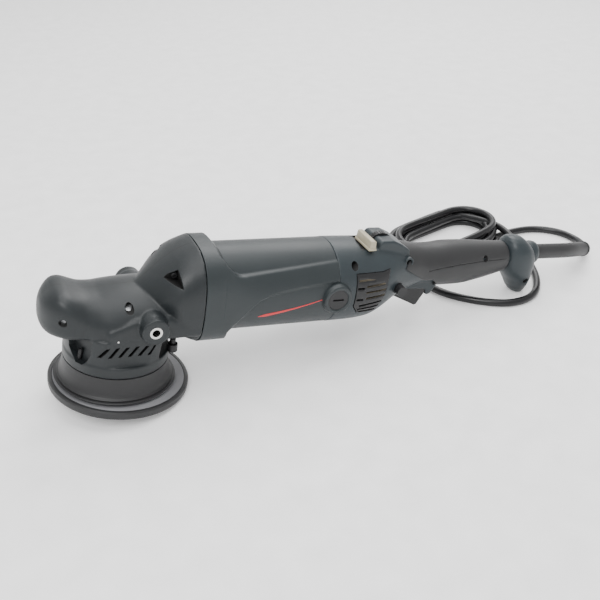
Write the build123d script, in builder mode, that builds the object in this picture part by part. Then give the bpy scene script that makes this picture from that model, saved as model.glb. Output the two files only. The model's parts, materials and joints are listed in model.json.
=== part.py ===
from build123d import *
from math import acos, cos, degrees, pi, radians, sin, sqrt, tan
import os

# Dual action polisher, in millimetres.  Every piece is drawn in the tool's own frame:
# the spindle axis is Z, the face of the pad is z = 0, +X runs along the motor to the cord
# and -Y is the operator's right side.  The finished pieces are then tipped back onto the
# butt knob, the way the tool lies on a bench, with the bench at z = 0.

# ---------------------------------------------------------------- driving dimensions
PAD_R = 61.5                 # radius of the backing pad
THROW = 4.0                  # eccentric throw: the pad axis stands this far from the spindle
TILT = 9.5                   # degrees that the tool tips back onto its knob
MOTOR_Z = 89.3               # height of the armature axis over the pad face
MOTOR_R = 39.8               # radius of the motor housing
WALL = 2.6                   # plastic wall
GAP = 0.3                    # running clearance between bodies
SEAM_FRONT = 62.5            # x of the joint between head covers and motor housing
SEAM_REAR = 190.2            # x of the joint between motor housing and rear housing
SKIRT_TOP = 29.8             # height where the skirt meets the head covers
COLLAR_R = 45.7              # radius of the collar over the pad
BOSS = (19.5, 75.5)          # x and z of the side handle bosses
BOSS_FACE = 50.0             # distance of the boss faces from the centre plane
BRUSH_X = 188.5              # x of the carbon brushes
GEAR_TEETH, PINION_TEETH = 36, 10
GRIP_END = 397.0             # x where the grip ends in the butt knob
RELIEF_R = 8.0               # strain relief at the knob
CORD_D = 8.0                 # mains lead
HANK = (416.0, 124.0)        # centre of the hank on the bench
HANK_A, HANK_B = 64.0, 31.0  # half axes of the hank's middle line
HANK_TURN = 15.0             # degrees between the hank's long axis and X
HANK_W, HANK_H = 34.0, 25.0  # section of the wound hank

os.makedirs("parts", exist_ok=True)
TOOL_PIECES = {}
CORD_PIECES = {}


def keep(builder, name, on_cord=False):
    """Puts a finished piece on the list of pieces to write."""
    (CORD_PIECES if on_cord else TOOL_PIECES)[name] = builder.part


def side_plane(x, z=0.0):
    """Plane across the tool at x: local X is the tool's Y, local Y is the tool's Z."""
    return Plane(origin=(x, 0, z), x_dir=(0, 1, 0), z_dir=(1, 0, 0))


def flank_plane(x, z, y=0.0):
    """Plane facing the operator's right: local X is the tool's X, local Y its Z."""
    return Plane(origin=(x, y, z), x_dir=(1, 0, 0), z_dir=(0, -1, 0))


def body_loft(sections, inset=0.0):
    """Lofts rounded rectangles given as (x, half width, bottom, top, corner radius)."""
    with BuildPart() as body:
        for x, half, low, high, corner in sections:
            middle = (low + high) / 2
            width, height = 2 * (half - inset), high - low - 2 * inset
            radius = min(max(corner - inset, 1.0), 0.49 * min(width, height))
            with BuildSketch(side_plane(x, middle)):
                RectangleRounded(width, height, radius)
        loft()
    return body.part


def round_loft(sections, inset=0.0):
    """Lofts ellipses given as (x, half width, bottom, top)."""
    with BuildPart() as body:
        for x, half, low, high in sections:
            with BuildSketch(side_plane(x, (low + high) / 2)):
                Ellipse(half - inset, (high - low) / 2 - inset)
        loft()
    return body.part


def tube_x(name, x0, x1, outer, inner, on_axis=MOTOR_Z):
    """A ring or tube around the armature axis, from x0 to x1."""
    with BuildPart() as ring:
        with BuildSketch(side_plane(x0, on_axis)):
            Circle(outer)
            if inner:
                Circle(inner, mode=Mode.SUBTRACT)
        extrude(amount=x1 - x0)
    keep(ring, name)


def tube_z(name, z0, z1, outer, inner, x=0.0):
    """A ring or tube around a vertical axis at x, from z0 to z1."""
    with BuildPart() as ring:
        with BuildSketch(Plane.XY.offset(z0)):
            with Locations((x, 0)):
                Circle(outer)
                if inner:
                    Circle(inner, mode=Mode.SUBTRACT)
        extrude(amount=z1 - z0)
    keep(ring, name)


def halves(builder, right_name, left_name):
    """Keeps the half on the operator's right, and its mirror image, as two pieces."""
    keep(builder, right_name)
    with BuildPart() as left_half:
        add(mirror(builder.part, about=Plane.XZ, mode=Mode.PRIVATE))
    keep(left_half, left_name)


# ---------------------------------------------------------------- the head
HEAD_SECTIONS = [
    (-67.0, 9.0, 74.0, 90.0, 7.5),
    (-63.0, 19.0, 66.0, 96.0, 13.0),
    (-52.0, 28.5, 62.0, 100.0, 16.0),
    (-34.0, 33.5, 62.0, 97.0, 15.0),
    (-10.0, 39.5, 58.0, 96.5, 15.0),
    (16.0, 42.5, 50.0, 98.5, 14.0),
]
FLARE_SECTIONS = [
    (16.0, 42.5, 50.0, 98.5, 14.0),
    (32.0, 42.8, 47.0, 117.0, 15.0),
    (48.0, 43.0, 46.0, 127.5, 16.0),
    (SEAM_FRONT, 43.2, 45.5, 133.0, 17.0),
]
COLLAR_TOP = 68.0
BODY_SCREWS = [(-51.5, 79.0, -21.0, 30.0), (1.6, 93.0, -36.0, 4.0)]  # x, z, head y, length

with BuildPart() as head_cover:
    add(body_loft(HEAD_SECTIONS))
    add(body_loft(FLARE_SECTIONS))
    with BuildSketch(Plane.XY.offset(SKIRT_TOP)):
        Circle(COLLAR_R)
    extrude(amount=COLLAR_TOP - SKIRT_TOP, taper=1.5)
    with BuildSketch(flank_plane(*BOSS, y=BOSS_FACE)):
        Circle(11.0)
    extrude(amount=2 * BOSS_FACE)
    add(body_loft(HEAD_SECTIONS, WALL), mode=Mode.SUBTRACT)
    add(body_loft(FLARE_SECTIONS, WALL), mode=Mode.SUBTRACT)
    with BuildSketch(Plane.XY.offset(SKIRT_TOP)):
        Circle(COLLAR_R - WALL)
    extrude(amount=COLLAR_TOP - WALL - SKIRT_TOP, mode=Mode.SUBTRACT)
    # the gear case flange stands in the open rear end
    with BuildSketch(side_plane(SEAM_FRONT - WALL - 2, MOTOR_Z)):
        Circle(38.6)
    extrude(amount=8.0, mode=Mode.SUBTRACT)
    # bores for the threaded side handle inserts
    with BuildSketch(flank_plane(*BOSS, y=BOSS_FACE + 1)):
        Circle(5.4)
    extrude(amount=2 * BOSS_FACE + 2, mode=Mode.SUBTRACT)
    # six slanted cooling slots in each flank
    for step in range(6):
        with BuildSketch(flank_plane(-22.0 + 8.4 * step, 53.6, y=60.0)):
            SlotOverall(12.5, 2.6, rotation=52)
        extrude(amount=120.0, mode=Mode.SUBTRACT)
    for x, z, *_ in BODY_SCREWS:
        with BuildSketch(flank_plane(x, z, y=60.0)):
            Circle(2.9)
        extrude(amount=120.0, mode=Mode.SUBTRACT)
    # the spindle lock stands in a notch under the rear of the covers
    with BuildSketch(flank_plane(44.0, 46.0, y=-14.0)):
        Rectangle(11.0, 18.0)
    extrude(amount=14.0, mode=Mode.SUBTRACT)
    split(bisect_by=Plane.XZ, keep=Keep.TOP)
halves(head_cover, "head_cover_right", "head_cover_left")

# threaded bushes for the side handle, M8, one in each boss
HANDLE_THREAD_R = 3.4        # minor radius of the thread
with BuildPart() as handle_inserts:
    for face_y, inward in ((-BOSS_FACE, 1), (BOSS_FACE, -1)):
        with BuildSketch(Plane(origin=(BOSS[0], face_y, BOSS[1]), z_dir=(0, inward, 0))):
            Circle(5.3)
            Circle(HANDLE_THREAD_R, mode=Mode.SUBTRACT)
        extrude(amount=14.0)
keep(handle_inserts, "handle_inserts")

# socket head screws, sunk in their wells, that hold the two covers together
with BuildPart() as head_screws:
    for x, z, head_y, length in BODY_SCREWS:
        with BuildSketch(flank_plane(x, z, y=head_y)):
            Circle(2.7)
            RegularPolygon(1.4, 6, mode=Mode.SUBTRACT)
        extrude(amount=-3.0)
        with BuildSketch(flank_plane(x, z, y=head_y + 3.0)):
            Circle(1.7)
        extrude(amount=-length)
keep(head_screws, "head_screws")

# rubber skirt that hangs from the collar over the eccentric
SKIRT_LOW = 10.6
with BuildPart() as skirt_ring:
    with BuildSketch(Plane.XZ):
        with BuildLine():
            Polyline((COLLAR_R - 3, SKIRT_TOP - 0.05), (COLLAR_R, SKIRT_TOP - 0.05),
                     (46.4, 20.0), (47.9, 13.4), (49.3, 12.6), (49.3, SKIRT_LOW),
                     (45.6, SKIRT_LOW), (44.2, 20.0), close=True)
        make_face()
    revolve(axis=Axis.Z)
keep(skirt_ring, "skirt_ring")

# cast gear case: a cup around the spindle and a tunnel to the motor flange
CASE_LOW, CASE_TOP = 46.0, 91.6
LOWER_BEARING = (50.0, 60.0)
UPPER_BEARING = (83.4, 88.9)
FRONT_BEARING = (30.0, 39.0)
CASE_SECTIONS = [
    (14.0, 28.0, 60.0, 93.4, 8.0),
    (32.0, 33.0, 56.0, 109.0, 12.0),
    (48.0, 35.0, 54.0, 119.5, 14.0),
    (59.0, 36.0, 53.0, 125.0, 15.0),
]
with BuildPart() as gear_case:
    with BuildSketch(Plane.XY.offset(CASE_LOW)):
        Circle(28.6)
    extrude(amount=CASE_TOP - CASE_LOW)
    add(body_loft(CASE_SECTIONS))
    with BuildSketch(side_plane(59.0, MOTOR_Z)):
        Circle(38.0)
    extrude(amount=SEAM_FRONT - 0.3 - 59.0)
    # chamber of the bevel gear, with the bearing seats above and below it
    with BuildSketch(Plane.XY.offset(LOWER_BEARING[1] + 1)):
        Circle(26.0)
    extrude(amount=UPPER_BEARING[0] - LOWER_BEARING[1] - 1, mode=Mode.SUBTRACT)
    with BuildSketch(Plane.XY.offset(UPPER_BEARING[0])):
        Circle(26.0)
        Circle(11.0, mode=Mode.SUBTRACT)
        Circle(8.0)
    extrude(amount=89.0 - UPPER_BEARING[0], mode=Mode.SUBTRACT)
    with BuildSketch(Plane.XY.offset(CASE_LOW)):
        Circle(17.5)
    extrude(amount=LOWER_BEARING[1] - CASE_LOW, mode=Mode.SUBTRACT)
    with BuildSketch(Plane.XY.offset(LOWER_BEARING[1])):
        Circle(14.0)
    extrude(amount=1.0, mode=Mode.SUBTRACT)
    # pinion tunnel and the front bearing seat of the armature
    with BuildSketch(side_plane(12.0, MOTOR_Z)):
        Circle(8.2)
    extrude(amount=FRONT_BEARING[0] - 12.0, mode=Mode.SUBTRACT)
    with BuildSketch(side_plane(FRONT_BEARING[0], MOTOR_Z)):
        Circle(13.0)
    extrude(amount=FRONT_BEARING[1] - FRONT_BEARING[0] + 1.5, mode=Mode.SUBTRACT)
    with BuildSketch(side_plane(FRONT_BEARING[1] + 1.5, MOTOR_Z)):
        Circle(29.0)
    extrude(amount=40.0, mode=Mode.SUBTRACT)
keep(gear_case, "gear_case")

tube_z("bearing_retainer", 43.2, CASE_LOW - 0.05, 26.0, 10.0)

# spindle lock: a button under the gear case that is pushed in against the spindle
LOCK_X, LOCK_Y, LOCK_Z = 44.0, -21.0, 42.0
with BuildPart() as spindle_lock_button:
    with BuildSketch(Plane(origin=(LOCK_X, LOCK_Y, LOCK_Z - 3))):
        Circle(4.6)
    extrude(amount=7.0)
    with BuildSketch(Plane(origin=(LOCK_X, LOCK_Y, LOCK_Z + 4))):
        Circle(2.6)
    extrude(amount=5.0)
keep(spindle_lock_button, "spindle_lock_button")

# ---------------------------------------------------------------- spindle and eccentric
with BuildPart() as spindle:
    for z0, z1, radius in ((44.0, 62.0, 7.5), (62.0, 82.0, 6.0), (82.0, 88.8, 4.0)):
        with BuildSketch(Plane.XY.offset(z0)):
            Circle(radius)
        extrude(amount=z1 - z0)
keep(spindle, "spindle")

tube_z("spindle_bearing_lower", *LOWER_BEARING, 17.45, 7.55)
tube_z("spindle_bearing_upper", *UPPER_BEARING, 7.95, 4.05)

# bevel gear and pinion: the pitch cones meet where the two axes cross
RATIO = GEAR_TEETH / PINION_TEETH
GEAR_OUT, GEAR_IN = 24.4, 15.6
TIP_GAP = 0.25


def gear_height(radius):
    """Height of the gear's tip cone at a distance from the spindle axis."""
    return MOTOR_Z - radius / RATIO - TIP_GAP


with BuildPart() as bevel_gear:
    with BuildSketch(Plane.XZ):
        with BuildLine():
            Polyline((6.05, 65.0), (10.0, 65.0), (10.0, 70.0), (GEAR_OUT - 1, 72.0),
                     (GEAR_OUT, gear_height(GEAR_OUT)), (GEAR_IN, gear_height(GEAR_IN)),
                     (13.0, 77.0), (6.05, 77.0), close=True)
        make_face()
    revolve(axis=Axis.Z)
    # one tooth gap, repeated around the rim
    with BuildSketch(Plane(origin=(GEAR_OUT + 1, 0, gear_height(GEAR_OUT)), z_dir=(-1, 0, 0))):
        with Locations((0, 0)):
            Trapezoid(4.4, 5.0, 98, rotation=90)
    gap_cutter = extrude(amount=GEAR_OUT - GEAR_IN + 2.5, mode=Mode.PRIVATE)
    for step in range(GEAR_TEETH):
        add(gap_cutter.rotate(Axis.Z, step * 360 / GEAR_TEETH), mode=Mode.SUBTRACT)
keep(bevel_gear, "bevel_gear")

PINION_X0, PINION_X1 = 16.0, 24.2
with BuildPart() as pinion:
    with BuildSketch(side_plane(PINION_X0, MOTOR_Z)):
        Circle(PINION_X0 / RATIO - TIP_GAP)
    with BuildSketch(side_plane(PINION_X1, MOTOR_Z)):
        Circle(PINION_X1 / RATIO - TIP_GAP)
    loft()
    with BuildSketch(side_plane(PINION_X0 - 1, MOTOR_Z)):
        with PolarLocations(6.3, PINION_TEETH, start_angle=18):
            Rectangle(2.6, 1.5)
    extrude(amount=PINION_X1 - PINION_X0 + 2, mode=Mode.SUBTRACT)
    with BuildSketch(side_plane(PINION_X0 - 1, MOTOR_Z)):
        Circle(3.05)
    extrude(amount=PINION_X1 - PINION_X0 + 2, mode=Mode.SUBTRACT)
keep(pinion, "pinion")

# eccentric: hub on the spindle, housing of the pad bearing, and a counterweight opposite
with BuildPart() as eccentric_carrier:
    with BuildSketch(Plane.XY.offset(36.0)):
        Circle(9.0)
    extrude(amount=7.0)
    with BuildSketch(Plane.XY.offset(15.0)):
        with Locations((THROW, 0)):
            Circle(20.0)
    extrude(amount=21.0)
    with BuildSketch(Plane.XY.offset(18.0)):
        with BuildLine():
            CenterArc((0, 0), 40.0, 110, 140)
            Line((40 * cos(radians(250)), 40 * sin(radians(250))), (0, -12))
            Line((0, -12), (0, 12))
            Line((0, 12), (40 * cos(radians(110)), 40 * sin(radians(110))))
        make_face()
    extrude(amount=15.0)
    with BuildSketch(Plane.XY.offset(15.0)):
        with Locations((THROW, 0)):
            Circle(16.0)
    extrude(amount=17.0, mode=Mode.SUBTRACT)
    with BuildSketch(Plane.XY.offset(37.0)):
        Circle(3.0)
    extrude(amount=7.0, mode=Mode.SUBTRACT)
keep(eccentric_carrier, "eccentric_carrier")

# balance screw that holds the eccentric on the spindle
tube_z("eccentric_screw", 37.05, 43.9, 2.95, 0)

tube_z("pad_bearing", 16.0, 30.0, 15.95, 6.05, x=THROW)

with BuildPart() as pad_arbor:
    with Locations((THROW, 0, 0)):
        with BuildSketch(Plane.XY.offset(9.4)):
            with Locations((THROW, 0)):
                Circle(14.0)
    extrude(amount=4.0)
    with BuildSketch(Plane.XY.offset(13.4)):
        with Locations((THROW, 0)):
            Circle(6.0)
    extrude(amount=17.6)
keep(pad_arbor, "pad_arbor")

# ---------------------------------------------------------------- the pad
PAD_RIM = 6.4
with BuildPart() as backing_plate:
    with BuildSketch(Plane.XZ.offset(0)):
        with BuildLine():
            Polyline((0.0, 6.45), (53.0, 6.45), (53.0, 7.4), (50.6, 9.2), (0.0, 9.2),
                     close=True)
        make_face()
    revolve(axis=Axis.Z)
    with PolarLocations(44.0, 8):
        Hole(2.6)
backing_plate.part = backing_plate.part.moved(Location((THROW, 0, 0)))
keep(backing_plate, "backing_plate")

tube_z("pad_cushion", 1.65, PAD_RIM, 57.6, 0, x=THROW)
with BuildPart() as pad_edge:
    with BuildSketch(Plane.XZ):
        with BuildLine():
            Polyline((57.65, 1.65), (PAD_R, 1.65), (PAD_R, 5.6), (60.6, 6.9), (58.2, 6.9),
                     (57.65, 6.4), close=True)
        make_face()
    revolve(axis=Axis.Z)
pad_edge.part = pad_edge.part.moved(Location((THROW, 0, 0)))
keep(pad_edge, "pad_edge")
tube_z("hook_face", 0.0, 1.6, PAD_R - 0.3, 0, x=THROW)

with BuildPart() as pad_screws:
    with BuildSketch(Plane.XY.offset(9.25)):
        with Locations((THROW, 0)):
            with PolarLocations(18.5, 4):
                Circle(3.0)
                RegularPolygon(1.6, 6, mode=Mode.SUBTRACT)
    extrude(amount=2.2)
keep(pad_screws, "pad_screws")

# ---------------------------------------------------------------- motor housing
FLANGE_END = 78.0
FLANGE_SECTIONS = [
    (SEAM_FRONT + 0.1, 43.2, 45.5, 133.0, 17.0),
    (FLANGE_END, 43.2, 45.8, 132.6, 17.0),
    (94.0, 40.4, 49.0, 129.4, 39.0),
]
BRUSH_FACE = 43.5            # distance of the brush cap faces from the centre plane
with BuildPart() as motor_housing:
    add(body_loft(FLANGE_SECTIONS))
    with BuildSketch(side_plane(SEAM_FRONT + 0.1, MOTOR_Z)):
        Circle(MOTOR_R)
    extrude(amount=SEAM_REAR - 0.05 - SEAM_FRONT - 0.1)
    with BuildSketch(flank_plane(BRUSH_X, MOTOR_Z, y=BRUSH_FACE)):
        Circle(13.5)
    extrude(amount=2 * BRUSH_FACE)
    with BuildSketch(side_plane(SEAM_FRONT, MOTOR_Z)):
        Circle(MOTOR_R - WALL)
    extrude(amount=160.0, mode=Mode.SUBTRACT)
    with BuildSketch(flank_plane(BRUSH_X, MOTOR_Z, y=BRUSH_FACE + 1)):
        Circle(9.9)
    extrude(amount=2 * BRUSH_FACE + 2, mode=Mode.SUBTRACT)
keep(motor_housing, "motor_housing")

BORE_R = MOTOR_R - WALL - 0.05
tube_x("stator_core", 96.0, 150.0, BORE_R, 24.0)
with BuildPart() as field_windings:
    for x in (86.5, 150.1):
        with BuildSketch(side_plane(x, MOTOR_Z)):
            Circle(34.0)
            Circle(25.5, mode=Mode.SUBTRACT)
        extrude(amount=9.4)
keep(field_windings, "field_windings")
tube_x("fan_baffle", 80.5, 83.0, BORE_R, 24.5)
with BuildPart() as cooling_fan:
    with BuildSketch(side_plane(75.0, MOTOR_Z)):
        Circle(33.0)
        Circle(4.05, mode=Mode.SUBTRACT)
    extrude(amount=2.0)
    with BuildSketch(side_plane(65.0, MOTOR_Z)):
        Circle(8.0)
        Circle(4.05, mode=Mode.SUBTRACT)
    extrude(amount=10.0)
    with BuildSketch(side_plane(66.0, MOTOR_Z)):
        with PolarLocations(20.0, 15):
            Rectangle(25.0, 1.4, rotation=24)
    extrude(amount=9.0)
keep(cooling_fan, "cooling_fan")

with BuildPart() as armature_shaft:
    for x0, x1, radius in ((14.0, 26.0, 3.0), (26.0, 199.0, 4.0), (199.0, 210.0, 3.5)):
        with BuildSketch(side_plane(x0, MOTOR_Z)):
            Circle(radius)
        extrude(amount=x1 - x0)
keep(armature_shaft, "armature_shaft")
with BuildPart() as armature_core:
    with BuildSketch(side_plane(97.0, MOTOR_Z)):
        Circle(23.2)
        Circle(4.05, mode=Mode.SUBTRACT)
        with PolarLocations(22.0, 12):
            Rectangle(3.6, 2.0, mode=Mode.SUBTRACT)
    extrude(amount=52.0)
keep(armature_core, "armature_core")
with BuildPart() as armature_winding:
    for x in (87.5, 149.1):
        with BuildSketch(side_plane(x, MOTOR_Z)):
            Circle(20.5)
            Circle(5.5, mode=Mode.SUBTRACT)
        extrude(amount=9.4)
keep(armature_winding, "armature_winding")
with BuildPart() as commutator:
    with BuildSketch(side_plane(177.0, MOTOR_Z)):
        Circle(12.0)
        Circle(4.05, mode=Mode.SUBTRACT)
        with PolarLocations(12.0, 24):
            Rectangle(1.6, 0.5, mode=Mode.SUBTRACT)
    extrude(amount=21.0)
keep(commutator, "commutator")
tube_x("armature_bearing_front", *FRONT_BEARING, 12.95, 4.05)
REAR_BEARING = (200.5, 208.5)
tube_x("armature_bearing_rear", *REAR_BEARING, 10.95, 3.55)

END_PLATE_R = 29.0
with BuildPart() as motor_end_frame:
    with BuildSketch(side_plane(REAR_BEARING[0], MOTOR_Z)):
        Circle(14.0)
    extrude(amount=REAR_BEARING[1] + 2.5 - REAR_BEARING[0])
    with BuildSketch(side_plane(210.4, MOTOR_Z)):
        Circle(END_PLATE_R)
        Rectangle(70.4, 12.0)
        with PolarLocations(21.5, 6):
            Circle(4.8, mode=Mode.SUBTRACT)
    extrude(amount=2.6)
    with BuildSketch(side_plane(REAR_BEARING[0], MOTOR_Z)):
        Circle(11.0)
    extrude(amount=REAR_BEARING[1] - REAR_BEARING[0] + 0.2, mode=Mode.SUBTRACT)
    with BuildSketch(side_plane(REAR_BEARING[0], MOTOR_Z)):
        Circle(5.0)
    extrude(amount=14.0, mode=Mode.SUBTRACT)
keep(motor_end_frame, "motor_end_frame")

# brushes, their holders and the slotted caps, one set each side
with BuildPart() as brush_holders:
    for side in (-1, 1):
        with BuildSketch(Plane(origin=(BRUSH_X, side * 14.0, MOTOR_Z), z_dir=(0, side, 0))):
            Rectangle(9.0, 11.0)
            Rectangle(7.0, 9.0, mode=Mode.SUBTRACT)
        extrude(amount=23.0)
keep(brush_holders, "brush_holders")
with BuildPart() as carbon_brushes:
    for side in (-1, 1):
        with BuildSketch(Plane(origin=(BRUSH_X, side * 12.4, MOTOR_Z), z_dir=(0, side, 0))):
            Rectangle(6.6, 8.6)
        extrude(amount=17.0)
keep(carbon_brushes, "carbon_brushes")
with BuildPart() as brush_caps:
    for side in (-1, 1):
        with BuildSketch(Plane(origin=(BRUSH_X, side * 38.4, MOTOR_Z), z_dir=(0, side, 0))):
            Circle(9.7)
        extrude(amount=4.4)
        with BuildSketch(Plane(origin=(BRUSH_X, side * 42.8, MOTOR_Z), z_dir=(0, side, 0))):
            Rectangle(1.8, 11.0)
        extrude(amount=-1.6, mode=Mode.SUBTRACT)
keep(brush_caps, "brush_caps")

# ---------------------------------------------------------------- rear housing
REAR_SECTIONS = [
    (SEAM_REAR + 0.05, 39.4, 49.9, 128.7),
    (228.0, 38.8, 50.0, 128.2),
    (252.0, 35.5, 54.0, 126.8),
    (274.0, 26.5, 70.5, 122.0),
    (296.0, 18.0, 80.5, 118.2),
    (350.0, 17.8, 80.5, 117.4),
    (376.0, 15.0, 85.5, 116.4),
    (GRIP_END + 12.0, 12.0, 91.0, 115.0),
]
GRIP_SECTIONS = [
    (285.0, 22.6, 75.8, 121.4),
    (300.0, 21.6, 77.0, 120.3),
    (350.0, 21.4, 77.1, 120.0),
    (376.0, 18.7, 81.6, 119.2),
    (GRIP_END, 15.4, 87.0, 118.2),
]
DIAL = (246.0, 123.0, 12.4)  # x, z and radius of the speed dial
SELECTOR_X = 225.0
VENT_OUTLINE = [(208.0, 109.5), (208.0, 78.5), (216.0, 69.5), (239.0, 69.5), (245.0, 82.0),
                (245.0, 109.5)]
VENT_CENTRE = (226.5, 89.5)
TRIGGER_HALF = 8.0
TRIGGER_PIVOT = (266.0, 77.0)
BUTTON = (258.5, 90.0)       # x and z of the lock-on button
REAR_SCREWS = [(206.5, 116.5), (270.5, 112.0), (363.0, 109.0)]
rear_form = round_loft(REAR_SECTIONS)


def vent_outline(y, shrink):
    """The vent's outline on the flank plane at y, drawn in by a margin."""
    with BuildSketch(flank_plane(0, 0, y=y)) as outline:
        with BuildLine():
            Polyline(*VENT_OUTLINE, close=True)
        make_face()
        if shrink:
            offset(amount=-shrink, mode=Mode.REPLACE)
    return outline.sketch


with BuildPart() as rear_shell:
    add(rear_form)
    # hump over the speed dial, and the guard lug behind the trigger
    with BuildSketch(flank_plane(0, 0, y=13.0)):
        with BuildLine():
            Polyline((234.0, 120.0), (236.5, 132.5), (249.0, 132.5), (262.0, 124.0),
                     (266.0, 112.0), (240.0, 105.0), close=True)
        make_face()
    extrude(amount=26.0)
    with BuildSketch(flank_plane(0, 0, y=9.6)):
        with BuildLine():
            Polyline((258.0, 90.0), (258.0, 72.0), (306.0, 74.8), (309.5, 67.0),
                     (313.0, 67.5), (320.0, 79.0), (326.0, 88.0), close=True)
        make_face()
    extrude(amount=19.2)
    add(round_loft(REAR_SECTIONS, WALL), mode=Mode.SUBTRACT)
    split(bisect_by=Plane.XZ, keep=Keep.TOP)
    with BuildSketch(flank_plane(BRUSH_X, MOTOR_Z)):
        Circle(13.6)
    extrude(amount=60.0, mode=Mode.SUBTRACT)
    extrude(vent_outline(-20.0, 0), amount=40.0, mode=Mode.SUBTRACT)
    # trigger slot, dial slot, and the selector's recess and slot
    with BuildSketch(Plane(origin=(283.5, 0, 40.0))):
        Rectangle(50.2, 2 * (TRIGGER_HALF + GAP))
    extrude(amount=52.0, mode=Mode.SUBTRACT)
    with BuildSketch(flank_plane(DIAL[0], DIAL[1], y=3.4)):
        Circle(DIAL[2] + 0.5)
    extrude(amount=6.8, mode=Mode.SUBTRACT)
    with BuildSketch(flank_plane(DIAL[0], DIAL[1], y=10.0)):
        Circle(2.3)
    extrude(amount=20.0, mode=Mode.SUBTRACT)
    with BuildSketch(Plane.XY.offset(126.0)):
        with Locations((SELECTOR_X, 0)):
            Rectangle(15.0, 60.0)
    extrude(amount=10.0, mode=Mode.SUBTRACT)
    with BuildSketch(Plane.XY.offset(120.0)):
        with Locations((SELECTOR_X, 0)):
            Rectangle(4.4, 23.0)
    extrude(amount=12.0, mode=Mode.SUBTRACT)
    # the strain relief is clamped inside the butt end
    with BuildSketch(side_plane(GRIP_END + 4.0, 105.0)):
        Circle(RELIEF_R + 0.05)
    extrude(amount=20.0, mode=Mode.SUBTRACT)
with BuildPart() as rear_left:
    add(mirror(rear_shell.part, about=Plane.XZ, mode=Mode.PRIVATE))
keep(rear_left, "rear_housing_left")
with BuildPart() as rear_right:
    add(rear_shell.part)
    with BuildSketch(flank_plane(*BUTTON, y=-10.0)):
        Circle(5.5)
    extrude(amount=40.0, mode=Mode.SUBTRACT)
    for x, z in REAR_SCREWS:
        with BuildSketch(flank_plane(x, z, y=-5.0)):
            Circle(2.9)
        extrude(amount=40.0, mode=Mode.SUBTRACT)
keep(rear_right, "rear_housing_right")

with BuildPart() as vent_cover:
    extrude(vent_outline(-33.0, 0.2), amount=8.0)
    with BuildSketch(side_plane(200.0, MOTOR_Z)):
        Circle(39.6)
        Circle(36.6, mode=Mode.SUBTRACT)
    extrude(amount=50.0, mode=Mode.INTERSECT)
    with BuildSketch(flank_plane(*VENT_CENTRE, y=-30.0)):
        with GridLocations(1, 4.2, 1, 8):
            SlotOverall(26.0, 1.8)
    extrude(amount=14.0, mode=Mode.SUBTRACT)
halves(vent_cover, "vent_cover_right", "vent_cover_left")

with BuildPart() as dust_filter:
    extrude(vent_outline(-28.4, 5.6), amount=2.4)
halves(dust_filter, "dust_filter_right", "dust_filter_left")

# soft grip sleeve, moulded in two halves around the handle
with BuildPart() as grip:
    add(round_loft(GRIP_SECTIONS))
    add(rear_form, mode=Mode.SUBTRACT)
    with BuildSketch(flank_plane(0, 0, y=10.0)):
        with BuildLine():
            Polyline((280.0, 60.0), (280.0, 88.5), (327.0, 88.5), (321.0, 60.0), close=True)
        make_face()
    extrude(amount=20.0, mode=Mode.SUBTRACT)
    with BuildSketch(flank_plane(REAR_SCREWS[2][0], REAR_SCREWS[2][1], y=-12.0)):
        Circle(2.9)
    extrude(amount=20.0, mode=Mode.SUBTRACT)
    split(bisect_by=Plane.XZ, keep=Keep.TOP)
halves(grip, "grip_right", "grip_left")

with BuildPart() as rear_screws:
    for x, z in REAR_SCREWS:
        with BuildSketch(flank_plane(x, z, y=-12.6)):
            Circle(2.7)
            RegularPolygon(1.4, 6, mode=Mode.SUBTRACT)
        extrude(amount=-2.6)
        with BuildSketch(flank_plane(x, z, y=-10.0)):
            Circle(1.5)
        extrude(amount=-4.0)
keep(rear_screws, "rear_screws")

# ---------------------------------------------------------------- controls
with BuildPart() as trigger:
    with BuildSketch(flank_plane(0, 0, y=TRIGGER_HALF)):
        with BuildLine():
            Polyline((262.0, 73.0), (297.5, 56.5), (300.0, 57.0), (306.5, 70.0), (307.5, 83.5),
                     (270.0, 83.5), (262.0, 80.0), close=True)
        make_face()
    extrude(amount=2 * TRIGGER_HALF)
    with BuildSketch(flank_plane(*TRIGGER_PIVOT, y=20.0)):
        Circle(1.6)
    extrude(amount=40.0, mode=Mode.SUBTRACT)
keep(trigger, "trigger")
with BuildPart() as trigger_pin:
    with BuildSketch(flank_plane(*TRIGGER_PIVOT, y=9.4)):
        Circle(1.5)
    extrude(amount=18.8)
keep(trigger_pin, "trigger_pin")

with BuildPart() as lock_button:
    with BuildSketch(flank_plane(*BUTTON, y=-24.0)):
        Circle(5.1)
    extrude(amount=14.5)
    with BuildSketch(flank_plane(*BUTTON, y=-18.0)):
        Circle(3.0)
    extrude(amount=6.0)
keep(lock_button, "lock_button")

with BuildPart() as switch_body:
    with BuildSketch(Plane.XY.offset(92.5)):
        with Locations((300.0, 0)):
            Rectangle(42.0, 16.0)
    extrude(amount=16.0)
keep(switch_body, "switch_body")
with BuildPart() as speed_controller:
    with BuildSketch(Plane.XY.offset(100.0)):
        with Locations((240.0, 0)):
            Rectangle(34.0, 30.0)
    extrude(amount=6.0)
keep(speed_controller, "speed_controller")

with BuildPart() as speed_dial:
    with BuildSketch(flank_plane(DIAL[0], DIAL[1], y=2.9)):
        Circle(DIAL[2])
        with PolarLocations(DIAL[2], 30):
            Circle(0.45, mode=Mode.SUBTRACT)
    extrude(amount=5.8)
    with BuildSketch(flank_plane(DIAL[0], DIAL[1], y=9.0)):
        Circle(1.9)
    extrude(amount=18.0)
keep(speed_dial, "speed_dial")

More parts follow.
